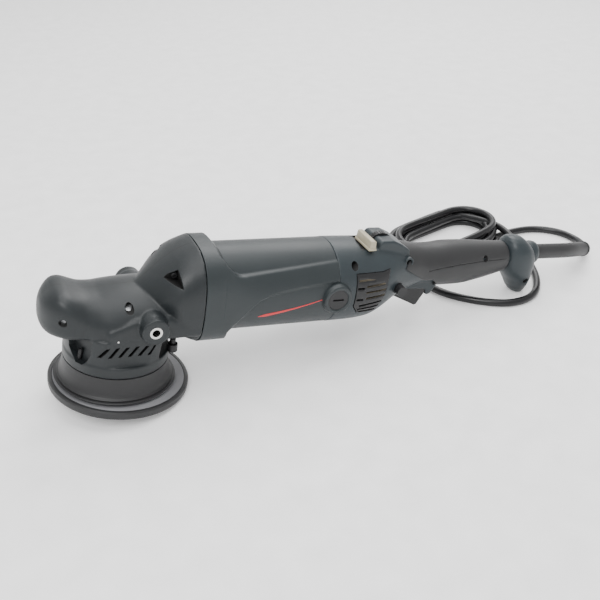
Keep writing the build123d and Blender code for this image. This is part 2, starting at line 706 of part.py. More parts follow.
SELECTOR_SLIDE = 6.0         # the selector stands this far towards the operator's right
with BuildPart() as mode_selector:
    with BuildSketch(Plane.XY.offset(126.3)):
        with Locations((SELECTOR_X, -SELECTOR_SLIDE)):
            Rectangle(6.0, 28.0)
    extrude(amount=11.2)
    with BuildSketch(Plane.XY.offset(118.0)):
        with Locations((SELECTOR_X, -SELECTOR_SLIDE)):
            Rectangle(3.4, 8.0)
    extrude(amount=9.0)
keep(mode_selector, "mode_selector")

# ---------------------------------------------------------------- butt knob and gland
with BuildPart() as butt_knob:
    with BuildSketch(flank_plane(0, 0, y=20.0)):
        with BuildLine():
            Polyline((397.2, 116.0), (401.0, 121.5), (408.0, 124.0), (420.0, 121.0),
                     (432.0, 114.5), (440.0, 104.0), (442.0, 82.0), (438.0, 68.0),
                     (431.0, 61.2), (425.0, 64.5), (410.0, 74.0), (400.0, 84.0), close=True)
        make_face()
    extrude(amount=40.0)
    with BuildSketch(side_plane(380.0, 0)):
        with BuildLine():
            Polyline((-20.0, 104.0), (-17.0, 115.5), (-8.0, 124.5), (8.0, 124.5),
                     (17.0, 115.5), (20.0, 104.0), (19.0, 92.0), (12.0, 69.0), (7.0, 60.4),
                     (-7.0, 60.4), (-12.0, 69.0), (-19.0, 92.0), close=True)
        make_face()
    extrude(amount=80.0, mode=Mode.INTERSECT)
    add(rear_form, mode=Mode.SUBTRACT)
    with BuildSketch(side_plane(400.0, 105.0)):
        Circle(RELIEF_R + 0.05)
    extrude(amount=60.0, mode=Mode.SUBTRACT)
    with BuildSketch(flank_plane(428.0, 78.0, y=-6.0)):
        Circle(2.8)
    extrude(amount=40.0, mode=Mode.SUBTRACT)
keep(butt_knob, "butt_knob")

# the strain relief droops to the bench and swings towards the hank
RELIEF_ROUTE = [(404.0, 0.0, 105.0), (446.0, 0.0, 105.0), (490.0, 3.0, 102.6),
                (529.0, 18.0, 95.5)]
with BuildPart() as strain_relief:
    with BuildLine() as relief_path:
        FilletPolyline(*RELIEF_ROUTE, radius=[95.0, 95.0])
    with BuildSketch(Plane(origin=RELIEF_ROUTE[0], z_dir=(1, 0, 0))):
        Circle(RELIEF_R)
    sweep()
    relief_end = relief_path.line % 1
    with BuildSketch(Plane(origin=RELIEF_ROUTE[-1], z_dir=tuple(relief_end))):
        Circle(RELIEF_R + 0.5)
    extrude(amount=-3.0)
keep(strain_relief, "strain_relief")

# ---------------------------------------------------------------- laying the tool down
LIFT = (THROW + PAD_R - 0.3) * sin(radians(TILT))
laid_down = Location((0, 0, LIFT), (0, TILT, 0))


def on_bench(point):
    """Where a point of the tool lies once the tool is tipped onto its knob."""
    x, y, z = point
    turn = radians(TILT)
    return (x * cos(turn) + z * sin(turn), y, LIFT - x * sin(turn) + z * cos(turn))


# ---------------------------------------------------------------- mains lead
CORD_R = CORD_D / 2
LEAD_ROUTE = [on_bench(RELIEF_ROUTE[-1]), (555, 34, 9), (565, 58, 4), (559, 84, 4),
              (536, 103, 4), (507, 107, 4), (476, 102, 4)]
LOOP_ROUTE = [(486, 118, 15), (489, 92, 13.5), (486, 62, 6.5), (478, 30, 4), (464, 0, 4),
              (441, -26, 4), (410, -30, 4), (381, -13, 4), (358, 12, 4), (346, 38, 5),
              (342, 66, 10), (347, 96, 14)]
PLUG_ROUTE = [(356, 92, 4), (334, 85, 4), (312, 86, 6), (290, 92, 14)]


def runs_and_radii(points):
    """Arc radius at each corner: 0.45 of the shorter run over the tangent of half the turn."""
    radii = []
    for before, corner, after in zip(points, points[1:], points[2:]):
        into, out = Vector(corner) - Vector(before), Vector(after) - Vector(corner)
        half_turn = radians(into.get_angle(out)) / 2
        radii.append(0.45 * min(into.length, out.length) / tan(half_turn))
    return radii


def cord_tube(name, points):
    """A plain tube along straight runs joined by tangent arcs."""
    radii = runs_and_radii(points)
    with BuildPart() as tube:
        with BuildLine() as path:
            FilletPolyline(*points, radius=radii)
        with BuildSketch(Plane(origin=path.line @ 0, z_dir=path.line % 0)):
            Circle(CORD_R)
        sweep()
    keep(tube, name, on_cord=True)
    length = path.wire().length
    print(name, "radii", [round(radius, 1) for radius in radii], "length", round(length, 1),
          "volume ratio", round(tube.part.volume / (pi * CORD_R**2 * length), 4))
    return length


cord_tube("power_lead", LEAD_ROUTE)
cord_tube("cord_loop", LOOP_ROUTE)
cord_tube("plug_lead", PLUG_ROUTE)

with BuildPart() as cord_hank:
    with BuildSketch(Plane(origin=(*HANK, 0), x_dir=(cos(radians(HANK_TURN)),
                                                     sin(radians(HANK_TURN)), 0),
                           z_dir=(0, 0, 1))):
        SlotOverall(2 * HANK_A + HANK_W, 2 * HANK_B + HANK_W)
        SlotOverall(2 * HANK_A - HANK_W, 2 * HANK_B - HANK_W, mode=Mode.SUBTRACT)
    extrude(amount=HANK_H)
keep(cord_hank, "cord_hank", on_cord=True)

with BuildPart() as mains_plug:
    plug_axis = Vector(*PLUG_ROUTE[-1]) - Vector(*PLUG_ROUTE[-2])
    plug_plane = Plane(origin=PLUG_ROUTE[-1], z_dir=(-1, 0.25, 0))
    with BuildSketch(plug_plane):
        Circle(6.0)
    with BuildSketch(plug_plane.offset(14.0)):
        Circle(13.0)
    loft()
    with BuildSketch(plug_plane.offset(14.0)):
        Circle(13.6)
    extrude(amount=20.0)
    with BuildSketch(plug_plane.offset(34.0)):
        with Locations((0, 0)):
            with GridLocations(19.0, 1, 2, 1):
                Circle(2.4)
    extrude(amount=19.0)
keep(mains_plug, "mains_plug", on_cord=True)

# ---------------------------------------------------------------- writing the pieces
laid_pieces = {name: laid_down * piece for name, piece in TOOL_PIECES.items()}
boxes = [piece.bounding_box() for piece in laid_pieces.values()]
middle_x = (min(box.min.X for box in boxes) + max(box.max.X for box in boxes)) / 2
print("bench frame origin at x", round(middle_x, 4), "lift", round(LIFT, 4))
for name, piece in (laid_pieces | CORD_PIECES).items():
    placed = Location((-middle_x, 0, 0)) * piece
    placed.label = name
    export_step(placed, f"parts/{name}.step")
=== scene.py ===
import json
import math

import bpy
import numpy as np
from bpy.props import FloatProperty, FloatVectorProperty, PointerProperty
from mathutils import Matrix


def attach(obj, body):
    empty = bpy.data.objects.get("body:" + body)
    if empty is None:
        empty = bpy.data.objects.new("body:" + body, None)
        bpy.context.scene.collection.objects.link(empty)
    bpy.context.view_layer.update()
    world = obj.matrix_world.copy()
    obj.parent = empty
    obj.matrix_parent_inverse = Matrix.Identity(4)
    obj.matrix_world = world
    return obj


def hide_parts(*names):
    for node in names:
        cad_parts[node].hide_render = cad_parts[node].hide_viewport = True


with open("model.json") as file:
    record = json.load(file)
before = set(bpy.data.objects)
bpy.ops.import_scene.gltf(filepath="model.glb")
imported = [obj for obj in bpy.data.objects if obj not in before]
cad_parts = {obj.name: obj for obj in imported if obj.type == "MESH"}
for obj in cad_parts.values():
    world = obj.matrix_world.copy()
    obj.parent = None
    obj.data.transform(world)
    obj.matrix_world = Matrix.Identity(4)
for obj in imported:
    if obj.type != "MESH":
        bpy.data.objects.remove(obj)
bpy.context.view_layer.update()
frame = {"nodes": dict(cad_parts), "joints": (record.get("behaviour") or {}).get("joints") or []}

bl_info = {
    "name": "Dual action polisher",
    "version": (1, 0, 0),
    "blender": (4, 5, 0),
    "location": "View3D > Sidebar > Polisher",
    "description": "Shells, pad, grip, lead and finishes of a dual action polisher",
    "category": "Object",
}

# The tool is drawn in millimetres in its own frame: the spindle axis is Z, the pad's face is
# z = 0 and the motor runs along +X.  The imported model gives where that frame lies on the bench.
JOINTS = {joint["name"]: joint for joint in frame["joints"]}
TOOL_X = np.array(JOINTS["armature_spin"]["axis"], float)
TOOL_Z = np.array(JOINTS["spindle_spin"]["axis"], float)
TOOL_Y = np.cross(TOOL_Z, TOOL_X)
SPINDLE_JOINT_Z = 60.0
TOOL_ORIGIN = np.array(JOINTS["spindle_spin"]["pos_m"]) - SPINDLE_JOINT_Z / 1000 * TOOL_Z
MOTOR_Z = 89.3
THROW = 4.0
BRUSH_X = 188.5
BOSS_X, BOSS_Z = 19.5, 75.5
STRIPE_LIFT, STRIPE_DEPTH = 0.12, 0.6   # how far the stripe stands out, and its thickness
COLLAR_Z = 104.6             # height of the knob collar's axis
FLOOR_GLOW = 0.22            # keeps the floor pale beside the dark plastic
CORD_D = 0.008
CORD_SHIFT = 242.5535        # from the cord route's own origin to the middle of the bench
HANK_X, HANK_Y, HANK_TURN = 423.0, 120.0, 15.0
HANK_L, HANK_B = 33.0, 31.0  # half the straight side and the end radius of the middle line
TURN_POINTS, WOUND_STEPS, LAP_STEPS = 20, 96, 16
WOUND_FROM = 0.27            # where the lead joins the hank
# the camera's place and heading on the bench, metres
EYE = (-0.3315, -0.6155, 0.4657)
AHEAD = (0.3419, 0.7779, -0.5272)


def place(points):
    """Tool millimetres to bench metres: the origin plus x, y and z along the tool's axes."""
    points = np.asarray(points, float) / 1000
    return TOOL_ORIGIN + points @ np.stack([TOOL_X, TOOL_Y, TOOL_Z])


def smooth_step(value):
    """0 below 0, 1 above 1 and 3t^2 - 2t^3 between."""
    t = np.clip(value, 0, 1)
    return t * t * (3 - 2 * t)


def smooth_curve(xs, ys, x):
    """A curve through the points with slopes averaged from its neighbours (cubic Hermite)."""
    xs, ys, x = (np.asarray(v, float) for v in (xs, ys, x))
    chord = np.diff(ys) / np.diff(xs)
    slope = np.concatenate([chord[:1], (chord[1:] + chord[:-1]) / 2, chord[-1:]])
    slope[1:-1] = np.where(chord[1:] * chord[:-1] > 0, slope[1:-1], 0)
    i = np.clip(np.searchsorted(xs, x) - 1, 0, len(xs) - 2)
    h = xs[i + 1] - xs[i]
    t = np.clip((x - xs[i]) / h, 0, 1)
    return ((2 * t**3 - 3 * t**2 + 1) * ys[i] + (t**3 - 2 * t**2 + t) * h * slope[i]
            + (3 * t**2 - 2 * t**3) * ys[i + 1] + (t**3 - t**2) * h * slope[i + 1])


# ------------------------------------------------------------------ surfaces
def new_object(name, vertices, faces, smooth=True):
    """Makes a mesh object from bench metres and lists of corners."""
    mesh = bpy.data.meshes.new(name)
    mesh.from_pydata(np.asarray(vertices).tolist(), [], [list(map(int, f)) for f in faces])
    mesh.polygons.foreach_set("use_smooth", np.full(len(mesh.polygons), smooth))
    mesh.update()
    thing = bpy.data.objects.new(name, mesh)
    bpy.context.scene.collection.objects.link(thing)
    return thing


def grid_faces(rows, columns, wrap):
    """Quads between neighbouring rows and columns; wrap joins the last column to the first."""
    j = np.arange(columns if wrap else columns - 1)
    i = np.arange(rows - 1)[:, None]
    k = (j + 1) % columns
    quads = np.stack([i * columns + j, i * columns + k, (i + 1) * columns + k,
                      (i + 1) * columns + j], -1)
    return quads.reshape(-1, 4).tolist()


def skin(name, rings, smooth=True):
    """Closed surface over rings (rows, columns, 3): quads between rings, fans at both ends."""
    rings = np.asarray(rings, float)
    rows, columns = rings.shape[:2]
    faces = grid_faces(rows, columns, True)
    points = np.concatenate([rings.reshape(-1, 3), [rings[0].mean(0)], [rings[-1].mean(0)]])
    first, last = rows * columns, rows * columns + 1
    base = (rows - 1) * columns
    for j in range(columns):
        k = (j + 1) % columns
        faces.append((first, k, j))
        faces.append((last, base + j, base + k))
    return new_object(name, place(points), faces, smooth)


def oval_rings(x, half, low, high, power, columns=96):
    """Rings across X: |y/half|^p + |(z - middle)/height|^p = 1 at each x."""
    x, half, low, high, power = np.broadcast_arrays(*(np.asarray(v, float)[..., None]
                                                      for v in (x, half, low, high, power)))
    angle = np.linspace(0, 2 * np.pi, columns, endpoint=False)
    c, s = np.cos(angle), np.sin(angle)
    reach = (np.abs(c) ** power + np.abs(s) ** power) ** (-1 / power)
    y = half * reach * c
    z = (low + high) / 2 + (high - low) / 2 * reach * s
    return np.stack([np.broadcast_to(x, y.shape), y, z], -1)


def turned(name, profile, x=0.0, columns=144):
    """Closed ring or disc: the (radius, z) profile, outer side rising, turned around Z at x."""
    profile = np.asarray(profile, float)
    angle = np.linspace(0, 2 * np.pi, columns, endpoint=False)
    r, z = profile[:, 0, None], profile[:, 1, None]
    points = np.stack([x + r * np.cos(angle), r * np.sin(angle), z + 0 * angle], -1)
    rows = len(profile)
    faces = grid_faces(rows, columns, True)
    if profile[0, 0] > 0.01:
        faces += [[(rows - 1) * columns + j, (rows - 1) * columns + (j + 1) % columns,
                   (j + 1) % columns, j] for j in range(columns)]
    thing = new_object(name, place(points.reshape(-1, 3)), faces)
    tidy_mesh(thing, 1e-6)
    return thing


def tidy_mesh(thing, distance):
    """Merges doubled vertices and points every face outwards."""
    import bmesh
    work = bmesh.new()
    work.from_mesh(thing.data)
    bmesh.ops.remove_doubles(work, verts=work.verts, dist=distance)
    bmesh.ops.recalc_face_normals(work, faces=work.faces)
    work.to_mesh(thing.data)
    work.free()


def turned_y(name, profile, x, z, columns=64):
    """Disc or ring around an axis along Y at (x, z): the profile is (radius, y)."""
    profile = np.asarray(profile, float)
    angle = np.linspace(0, 2 * np.pi, columns, endpoint=False)
    r, y = profile[:, 0, None], profile[:, 1, None]
    points = np.stack([x + r * np.cos(angle), y + 0 * angle, z + r * np.sin(angle)], -1)
    faces = grid_faces(len(profile), columns, True)
    if profile[0, 0] > 0.01:
        rows = len(profile)
        faces += [[(rows - 1) * columns + j, (rows - 1) * columns + (j + 1) % columns,
                   (j + 1) % columns, j] for j in range(columns)]
    thing = new_object(name, place(points.reshape(-1, 3)), faces)
    tidy_mesh(thing, 1e-6)
    return thing


def prism(name, outline, y0, y1, bevel=0.0):
    """Closed block: an (x, z) outline carried from y0 to y1, with its edges bevelled."""
    outline = np.asarray(outline, float)
    count = len(outline)
    points = [(x, y, z) for y in (y0, y1) for x, z in outline]
    faces = [list(range(count)), list(range(2 * count - 1, count - 1, -1))]
    faces += [[j, j + count, (j + 1) % count + count, (j + 1) % count] for j in range(count)]
    thing = new_object(name, place(points), faces, smooth=False)
    tidy_mesh(thing, 1e-7)
    if bevel:
        edge = thing.modifiers.new("bevel", "BEVEL")
        edge.width, edge.segments, edge.limit_method = bevel / 1000, 3, "ANGLE"
        settle(thing)
        thing.data.polygons.foreach_set("use_smooth", np.ones(len(thing.data.polygons), bool))
        thing.data.set_sharp_from_angle(angle=math.radians(35))
    return thing


def settle(thing):
    """Applies the object's modifiers to its mesh."""
    view = bpy.context.evaluated_depsgraph_get()
    mesh = bpy.data.meshes.new_from_object(thing.evaluated_get(view))
    thing.modifiers.clear()
    old, thing.data = thing.data, mesh
    bpy.data.meshes.remove(old)


def drop(*things):
    """Removes helper objects."""
    for thing in things:
        bpy.data.objects.remove(thing)


def fuse(name, things, voxel, rounds):
    """One closed skin around overlapping forms, with its inner corners softened."""
    body = things[0]
    for other in things[1:]:
        join = body.modifiers.new("join", "BOOLEAN")
        join.operation, join.object, join.solver = "UNION", other, "EXACT"
    settle(body)
    drop(*things[1:])
    body.name = body.data.name = name
    remesh = body.modifiers.new("skin", "REMESH")
    remesh.mode, remesh.voxel_size = "VOXEL", voxel / 1000
    remesh.use_smooth_shade = True
    relax = body.modifiers.new("soften", "SMOOTH")
    relax.factor, relax.iterations = 0.5, rounds
    settle(body)
    return body


def carve(body, cutters):
    """Cuts each closed cutter out of the body; the cut walls take the cutter's material."""
    for cutter in cutters:
        cut = body.modifiers.new("cut", "BOOLEAN")
        cut.operation, cut.object, cut.solver = "DIFFERENCE", cutter, "EXACT"
        cut.material_mode = "TRANSFER"
    settle(body)
    drop(*cutters)


# ------------------------------------------------------------------ finishes
def link(tree, source, target):
    tree.links.new(source, target)


def grain_group():
    """Node group: fine moulded grain, as a value for roughness and a height for bump."""
    name = "moulded_grain"
    if name in bpy.data.node_groups:
        return bpy.data.node_groups[name]
    tree = bpy.data.node_groups.new(name, "ShaderNodeTree")
    tree.interface.new_socket("Scale", in_out="INPUT", socket_type="NodeSocketFloat")
    tree.interface.new_socket("Height", in_out="OUTPUT", socket_type="NodeSocketFloat")
    tree.interface.new_socket("Cloud", in_out="OUTPUT", socket_type="NodeSocketFloat")
    come, go = tree.nodes.new("NodeGroupInput"), tree.nodes.new("NodeGroupOutput")
    coordinate = tree.nodes.new("ShaderNodeTexCoord")
    fine = tree.nodes.new("ShaderNodeTexVoronoi")
    fine.feature = "SMOOTH_F1"
    link(tree, coordinate.outputs["Object"], fine.inputs["Vector"])
    link(tree, come.outputs["Scale"], fine.inputs["Scale"])
    cloud = tree.nodes.new("ShaderNodeTexNoise")
    cloud.inputs["Scale"].default_value = 38.0
    cloud.inputs["Detail"].default_value = 4.0
    link(tree, coordinate.outputs["Object"], cloud.inputs["Vector"])
    link(tree, fine.outputs["Distance"], go.inputs["Height"])
    link(tree, cloud.outputs["Fac"], go.inputs["Cloud"])
    return tree


def finish(name, colour, roughness, metallic=0.0, grain=1500.0, bump=0.10, coat=0.0,
           sheen=0.0, parting=False, stripe=None):
    """Principled material: grain for bump, slow clouds for colour and roughness.
    With parting, a fine dark joint runs along the tool's centre plane."""
    name = "look_" + name
    if name in bpy.data.materials:
        return bpy.data.materials[name]
    material = bpy.data.materials.new(name)
    material.use_nodes = True
    tree = material.node_tree
    shader = tree.nodes["Principled BSDF"]
    shader.inputs["Metallic"].default_value = metallic
    shader.inputs["Specular IOR Level"].default_value = 0.5 if metallic else 0.36
    shader.inputs["Coat Weight"].default_value = coat
    shader.inputs["Sheen Weight"].default_value = sheen
    group = tree.nodes.new("ShaderNodeGroup")
    group.node_tree = grain_group()
    group.inputs["Scale"].default_value = grain
    tint = tree.nodes.new("ShaderNodeMix")
    tint.data_type = "RGBA"
    tint.inputs["A"].default_value = (*[c * 0.86 for c in colour], 1)
    tint.inputs["B"].default_value = (*[min(c * 1.16, 1) for c in colour], 1)
    link(tree, group.outputs["Cloud"], tint.inputs["Factor"])
    gloss = tree.nodes.new("ShaderNodeMapRange")
    gloss.inputs["To Min"].default_value = max(roughness - 0.06, 0.02)
    gloss.inputs["To Max"].default_value = min(roughness + 0.06, 1.0)
    link(tree, group.outputs["Cloud"], gloss.inputs["Value"])
    link(tree, gloss.outputs["Result"], shader.inputs["Roughness"])
    bump_node = tree.nodes.new("ShaderNodeBump")
    bump_node.inputs["Strength"].default_value = bump
    bump_node.inputs["Distance"].default_value = 0.0004
    link(tree, group.outputs["Height"], bump_node.inputs["Height"])
    link(tree, bump_node.outputs["Normal"], shader.inputs["Normal"])
    colour_out = tint.outputs["Result"]
    if parting:
        coordinate = tree.nodes.new("ShaderNodeTexCoord")
        axes = tree.nodes.new("ShaderNodeSeparateXYZ")
        link(tree, coordinate.outputs["Object"], axes.inputs["Vector"])
        away = tree.nodes.new("ShaderNodeMath")
        away.operation = "ABSOLUTE"
        link(tree, axes.outputs["Y"], away.inputs[0])
        line = tree.nodes.new("ShaderNodeMapRange")
        line.interpolation_type = "SMOOTHSTEP"
        line.inputs["From Min"].default_value = 0.00015
        line.inputs["From Max"].default_value = 0.00045
        link(tree, away.outputs["Value"], line.inputs["Value"])
        dark = tree.nodes.new("ShaderNodeMix")
        dark.data_type = "RGBA"
        dark.inputs["A"].default_value = (*[c * 0.25 for c in colour], 1)
        link(tree, line.outputs["Result"], dark.inputs["Factor"])
        link(tree, colour_out, dark.inputs["B"])
        colour_out = dark.outputs["Result"]
    link(tree, colour_out, shader.inputs["Base Color"])
    return material


def colours():
    return bpy.context.scene.polisher_colours


def sizes():
    return bpy.context.scene.polisher_sizes


def cover_plastic():
    return finish("cover_plastic", colours().cover, 0.42, grain=1700, bump=0.16, parting=True)


def motor_plastic():
    return finish("motor_plastic", colours().motor, 0.42, grain=1700, bump=0.16)


def rear_plastic():
    return finish("rear_plastic", colours().rear, 0.40, grain=1700, bump=0.14)


def grip_rubber():
    return finish("grip_rubber", colours().grip, 0.46, grain=2600, bump=0.08)


def black_rubber():
    return finish("black_rubber", (0.022, 0.022, 0.023), 0.48, grain=1400, bump=0.10)


def black_plastic():
    return finish("black_plastic", (0.012, 0.012, 0.013), 0.38, grain=1900, bump=0.08)


# Near-black for the walls of cut holes, slots and recesses, painted shade of their depth; also
# the grip's real dark joint line.
def hole_shade_and_joint_black():
    return finish("hole_shade_and_joint_black", (0.003, 0.003, 0.003), 0.7, grain=1500, bump=0.02)


def bright_steel():
    return finish("bright_steel", (0.62, 0.61, 0.59), 0.28, metallic=1.0, grain=900, bump=0.03)


def use(thing, material):
    """Gives the object this one material."""
    thing.data.materials.clear()
    thing.data.materials.append(material)
    return thing


def stand_for(piece, *nodes, body="housing", slot=None):
    """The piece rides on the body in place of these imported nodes."""
    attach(piece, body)
    if nodes:
        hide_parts(*nodes)
    return piece


# ------------------------------------------------------------------ stage
class POLISHER_OT_stage(bpy.types.Operator):
    """Pale floor and backdrop, soft studio lights and the camera"""
    bl_idname = "polisher.stage"
    bl_label = "Stage"

    def execute(self, context):
        # a floor that curves up behind the tool: z is 0, then a quarter circle, then a wall
        run = np.linspace(0, 1, 40)
        depth = np.concatenate([[-6.0], 2.5 + 1.5 * np.sin(run * np.pi / 2), [4.0]])
        height = np.concatenate([[0.0], 1.5 * (1 - np.cos(run * np.pi / 2)), [6.0]])
        across = np.array([-8.0, 8.0])
        points = np.stack([np.broadcast_to(across, (len(depth), 2)),
                           np.broadcast_to(depth[:, None], (len(depth), 2)),
                           np.broadcast_to(height[:, None], (len(depth), 2))], -1)
        floor = new_object("backdrop", points.reshape(-1, 3),
                           grid_faces(len(depth), 2, False))
        floor.data.flip_normals()
        use(floor, finish("backdrop_paper", (0.93, 0.93, 0.93), 0.9, grain=60, bump=0.0))
        paper = floor.data.materials[0].node_tree.nodes["Principled BSDF"]
        paper.inputs["Emission Color"].default_value = (1, 1, 1, 1)
        paper.inputs["Emission Strength"].default_value = FLOOR_GLOW
        world = context.scene.world or bpy.data.worlds.new("studio")
        context.scene.world = world
        world.use_nodes = True
        world.node_tree.nodes["Background"].inputs["Color"].default_value = (1, 1, 1, 1)
        world.node_tree.nodes["Background"].inputs["Strength"].default_value = 0.85
        for name, spot, aim, size, power in (
                ("key", (-0.9, -1.0, 1.7), (0, 0, 0.05), 0.9, 26),
                ("rim", (0.9, 1.2, 1.4), (0.1, 0, 0.05), 1.1, 22),
                ("top", (0.1, 0.1, 1.9), (0, 0, 0), 1.4, 24)):
            data = bpy.data.lights.new(name, "AREA")
            data.size, data.energy = size, power
            lamp = bpy.data.objects.new(name, data)
            context.scene.collection.objects.link(lamp)
            lamp.location = spot
            aim_at(lamp, aim)
        camera_data = bpy.data.cameras.new("camera")
        camera_data.sensor_width = 36.0
        camera_data.lens = 50.23
        camera = bpy.data.objects.new("camera", camera_data)
        context.scene.collection.objects.link(camera)
        camera.location = EYE
        aim_at(camera, tuple(np.array(EYE) + np.array(AHEAD)))
        context.scene.camera = camera
        return {"FINISHED"}


def aim_at(thing, target):
    """Turns a lamp or camera, whose view is its own -Z, towards the target."""
    from mathutils import Vector
    direction = Vector(target) - thing.location
    thing.rotation_euler = direction.to_track_quat("-Z", "Y").to_euler()


# ------------------------------------------------------------------ forms
def spline_points(points):
    """A NURBS curve's points need a weight: x, y, z, 1."""
    return np.column_stack([points, np.ones(len(points))]).ravel()


def shell_rings(x, half, low, middle, high, upper, lower, columns=96):
    """Rings across X: widest at the middle level, where |y/half|^p + |(z - middle)/h|^p = 1
    with one power and height h above that level and another below it."""
    x, half, low, middle, high, upper, lower = np.broadcast_arrays(
        *(np.asarray(v, float)[..., None] for v in (x, half, low, middle, high, upper, lower)))
    angle = np.linspace(0, 2 * np.pi, columns, endpoint=False)
    c, s = np.cos(angle), np.sin(angle)
    power = np.where(s > 0, upper, lower)
    reach = (np.abs(c) ** power + np.abs(s) ** power) ** (-1 / power)
    z = middle + np.where(s > 0, high - middle, middle - low) * reach * s
    return np.stack([np.broadcast_to(x, z.shape), half * reach * c, z], -1)


def oval_body(name, table, power, steps=90, columns=96):
    """Closed body along X through (x, half width, low, high) rows, joined by smooth curves."""
    table = np.asarray(table, float)
    x = np.linspace(table[0, 0], table[-1, 0], steps)
    half, low, high = (smooth_curve(table[:, 0], table[:, i], x) for i in (1, 2, 3))
    power = np.interp(x, table[:, 0], np.broadcast_to(power, len(table)))
    return skin(name, oval_rings(x, half, low, high, power, columns))


def well(x, z, radius, y0, y1, material):
    """A round hole to cut, along Y from y0 to y1, its walls in the given material (near-black in
    most calls: painted shade inside the hole).
    """
    return use(turned_y("cutter", [(0, y0), (radius, y0), (radius, y1), (0, y1)], x, z, 40),
               material)


def both_sides(make):
    """Calls make(side) for the right (-1) and the left (+1) and lists what it gives."""
    return [thing for side in (-1, 1) for thing in make(side)]


def hank_point(part, out, z):
    """A point of the hank: part runs clockwise round it from the top of its right end, over
    that end, the near side, the left end and the far side; out is the distance from the
    middle line, which is two half circles and two straight sides."""
    part = part % 1.0
    radius = HANK_B + out * (1.0 + 0.12 * math.sin(math.pi * part) ** 2)
    if part < 0.3:
        angle, cx = math.radians(90 - 600 * part), HANK_L
        x, y = cx + radius * math.cos(angle), radius * math.sin(angle)
    elif part < 0.5:
        x, y = HANK_L - 2 * HANK_L * (part - 0.3) / 0.2, -radius
    elif part < 0.8:
        angle = math.radians(-90 - 600 * (part - 0.5))
        x, y = -HANK_L + radius * math.cos(angle), radius * math.sin(angle)
    else:
        x, y = -HANK_L + 2 * HANK_L * (part - 0.8) / 0.2, radius
    c, s = math.cos(math.radians(HANK_TURN)), math.sin(math.radians(HANK_TURN))
    return HANK_X + x * c - y * s, HANK_Y + x * s + y * c, z


def hank_turns():
    """The wound turns: three side by side on the bench, then two on top of them, each a
    cord's width from the last."""
    pitch, low, high = 8.6, 4.0, 12.1
    points = []
    for i in range(WOUND_STEPS):
        turn, f = divmod(i / TURN_POINTS, 1.0)
        rise = math.sqrt(2 * f - f * f)
        over = math.sqrt(max(1 - (1 - rise) ** 2, 0))
        out, z = ((12 - pitch * f, low), (12 - pitch - pitch * f, low),
                  (12 - 2 * pitch, low + (high - low) * rise),
                  (12 - 2 * pitch + pitch * over, high),
                  (12 - pitch + pitch * over, high))[int(turn)]
        points.append(hank_point(WOUND_FROM + i / TURN_POINTS, out, z))
    return points


def hank_lap():
    """The last lap, on top: from the left end round to the near side."""
    steps = range(LAP_STEPS)
    return [hank_point(0.62 + i / TURN_POINTS, 5.0 - 6.0 * math.sin(math.pi * i / LAP_STEPS),
                       20.3) for i in steps]


class POLISHER_OT_lead(bpy.types.Operator):
    """Mains lead: out of the relief, round the hank's turns, past the knob and to the plug"""
    bl_idname = "polisher.lead"
    bl_label = "Mains lead"

    def execute(self, context):
        relief_end = place([(529.0, 18.0, 95.5)])[0] * 1000
        shift = -CORD_SHIFT
        lead = np.array([(555, 34, 9), (565, 58, 4), (559, 84, 4), (536, 103, 4),
                         (507, 107, 4), (476, 102, 4)], float) + (shift, 0, 0)
        points = [relief_end, relief_end + 0.45 * (lead[0] - relief_end)] + list(lead)
        points += [(x + shift, y, z) for x, y, z in hank_turns()]
        loop = np.array([(486, 118, 15), (489, 92, 13.5), (486, 62, 6.5), (478, 30, 4),
                         (464, 0, 4), (441, -26, 4), (410, -30, 4), (381, -13, 4),
                         (358, 12, 4), (346, 38, 5), (341, 64, 9), (343, 84, 15)], float)
        plug = np.array([(396, 79, 18.5), (380, 74, 12), (364, 73, 5), (349, 76, 4),
                         (332, 81, 4), (312, 86, 6), (301, 89, 10), (290, 92, 14)], float)
        points += list(loop + (shift, 0, 0))
        points += [(x + shift, y, z) for x, y, z in hank_lap()]
        points += list(plug + (shift, 0, 0))
        curve = bpy.data.curves.new("mains_lead", "CURVE")
        curve.dimensions = "3D"
        curve.bevel_depth = CORD_D / 2
        curve.bevel_resolution = 6
        curve.use_fill_caps = True
        spline = curve.splines.new("NURBS")
        spline.points.add(len(points) - 1)
        spline.points.foreach_set("co", spline_points(np.array(points) / 1000))
        spline.order_u = 3
        spline.use_endpoint_u = True
        spline.resolution_u = 10
        cord = bpy.data.objects.new("mains_lead", curve)
        context.scene.collection.objects.link(cord)
        curve.materials.append(finish("cord_jacket", (0.010, 0.010, 0.011), 0.30, grain=900,
                                      bump=0.03))
        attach(cord, "housing")
        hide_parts("power_lead", "cord_loop", "plug_lead", "cord_hank")
        return {"FINISHED"}


# ------------------------------------------------------------------ head
HEAD_TOP = [(-67.6, 80.0), (-66.5, 86.5), (-64.5, 91.0), (-62.6, 93.6), (-57.6, 98.0),
            (-52.6, 99.6), (-46.5, 99.3), (-39.3, 97.2), (-32.0, 95.6), (-21.6, 95.2),
            (-11.0, 96.3), (0.0, 97.4), (16.0, 98.0), (30.0, 97.0), (62.4, 92.0)]
HEAD_LOW = [(-67.6, 78.0), (-67.0, 71.0), (-65.5, 66.5), (-62.5, 63.4), (-57.0, 61.8),
            (-30.0, 61.3), (20.0, 60.5), (62.4, 60.5)]
HEAD_MIDDLE = [(-67.6, 79.0), (-60.0, 77.0), (-50.0, 75.0), (-34.0, 71.5), (-20.0, 69.0),
               (62.4, 69.0)]
HEAD_UPPER = [(-67.6, 2.6), (-60.0, 3.4), (-52.0, 3.8), (-44.0, 3.2), (-34.0, 2.5),
              (-22.0, 2.2), (62.4, 2.15)]
HEAD_HALF = [(-34.0, 33.6), (-22.0, 36.8), (-10.0, 39.6), (6.0, 41.4), (20.0, 41.9),
             (34.0, 41.8), (62.4, 41.4)]
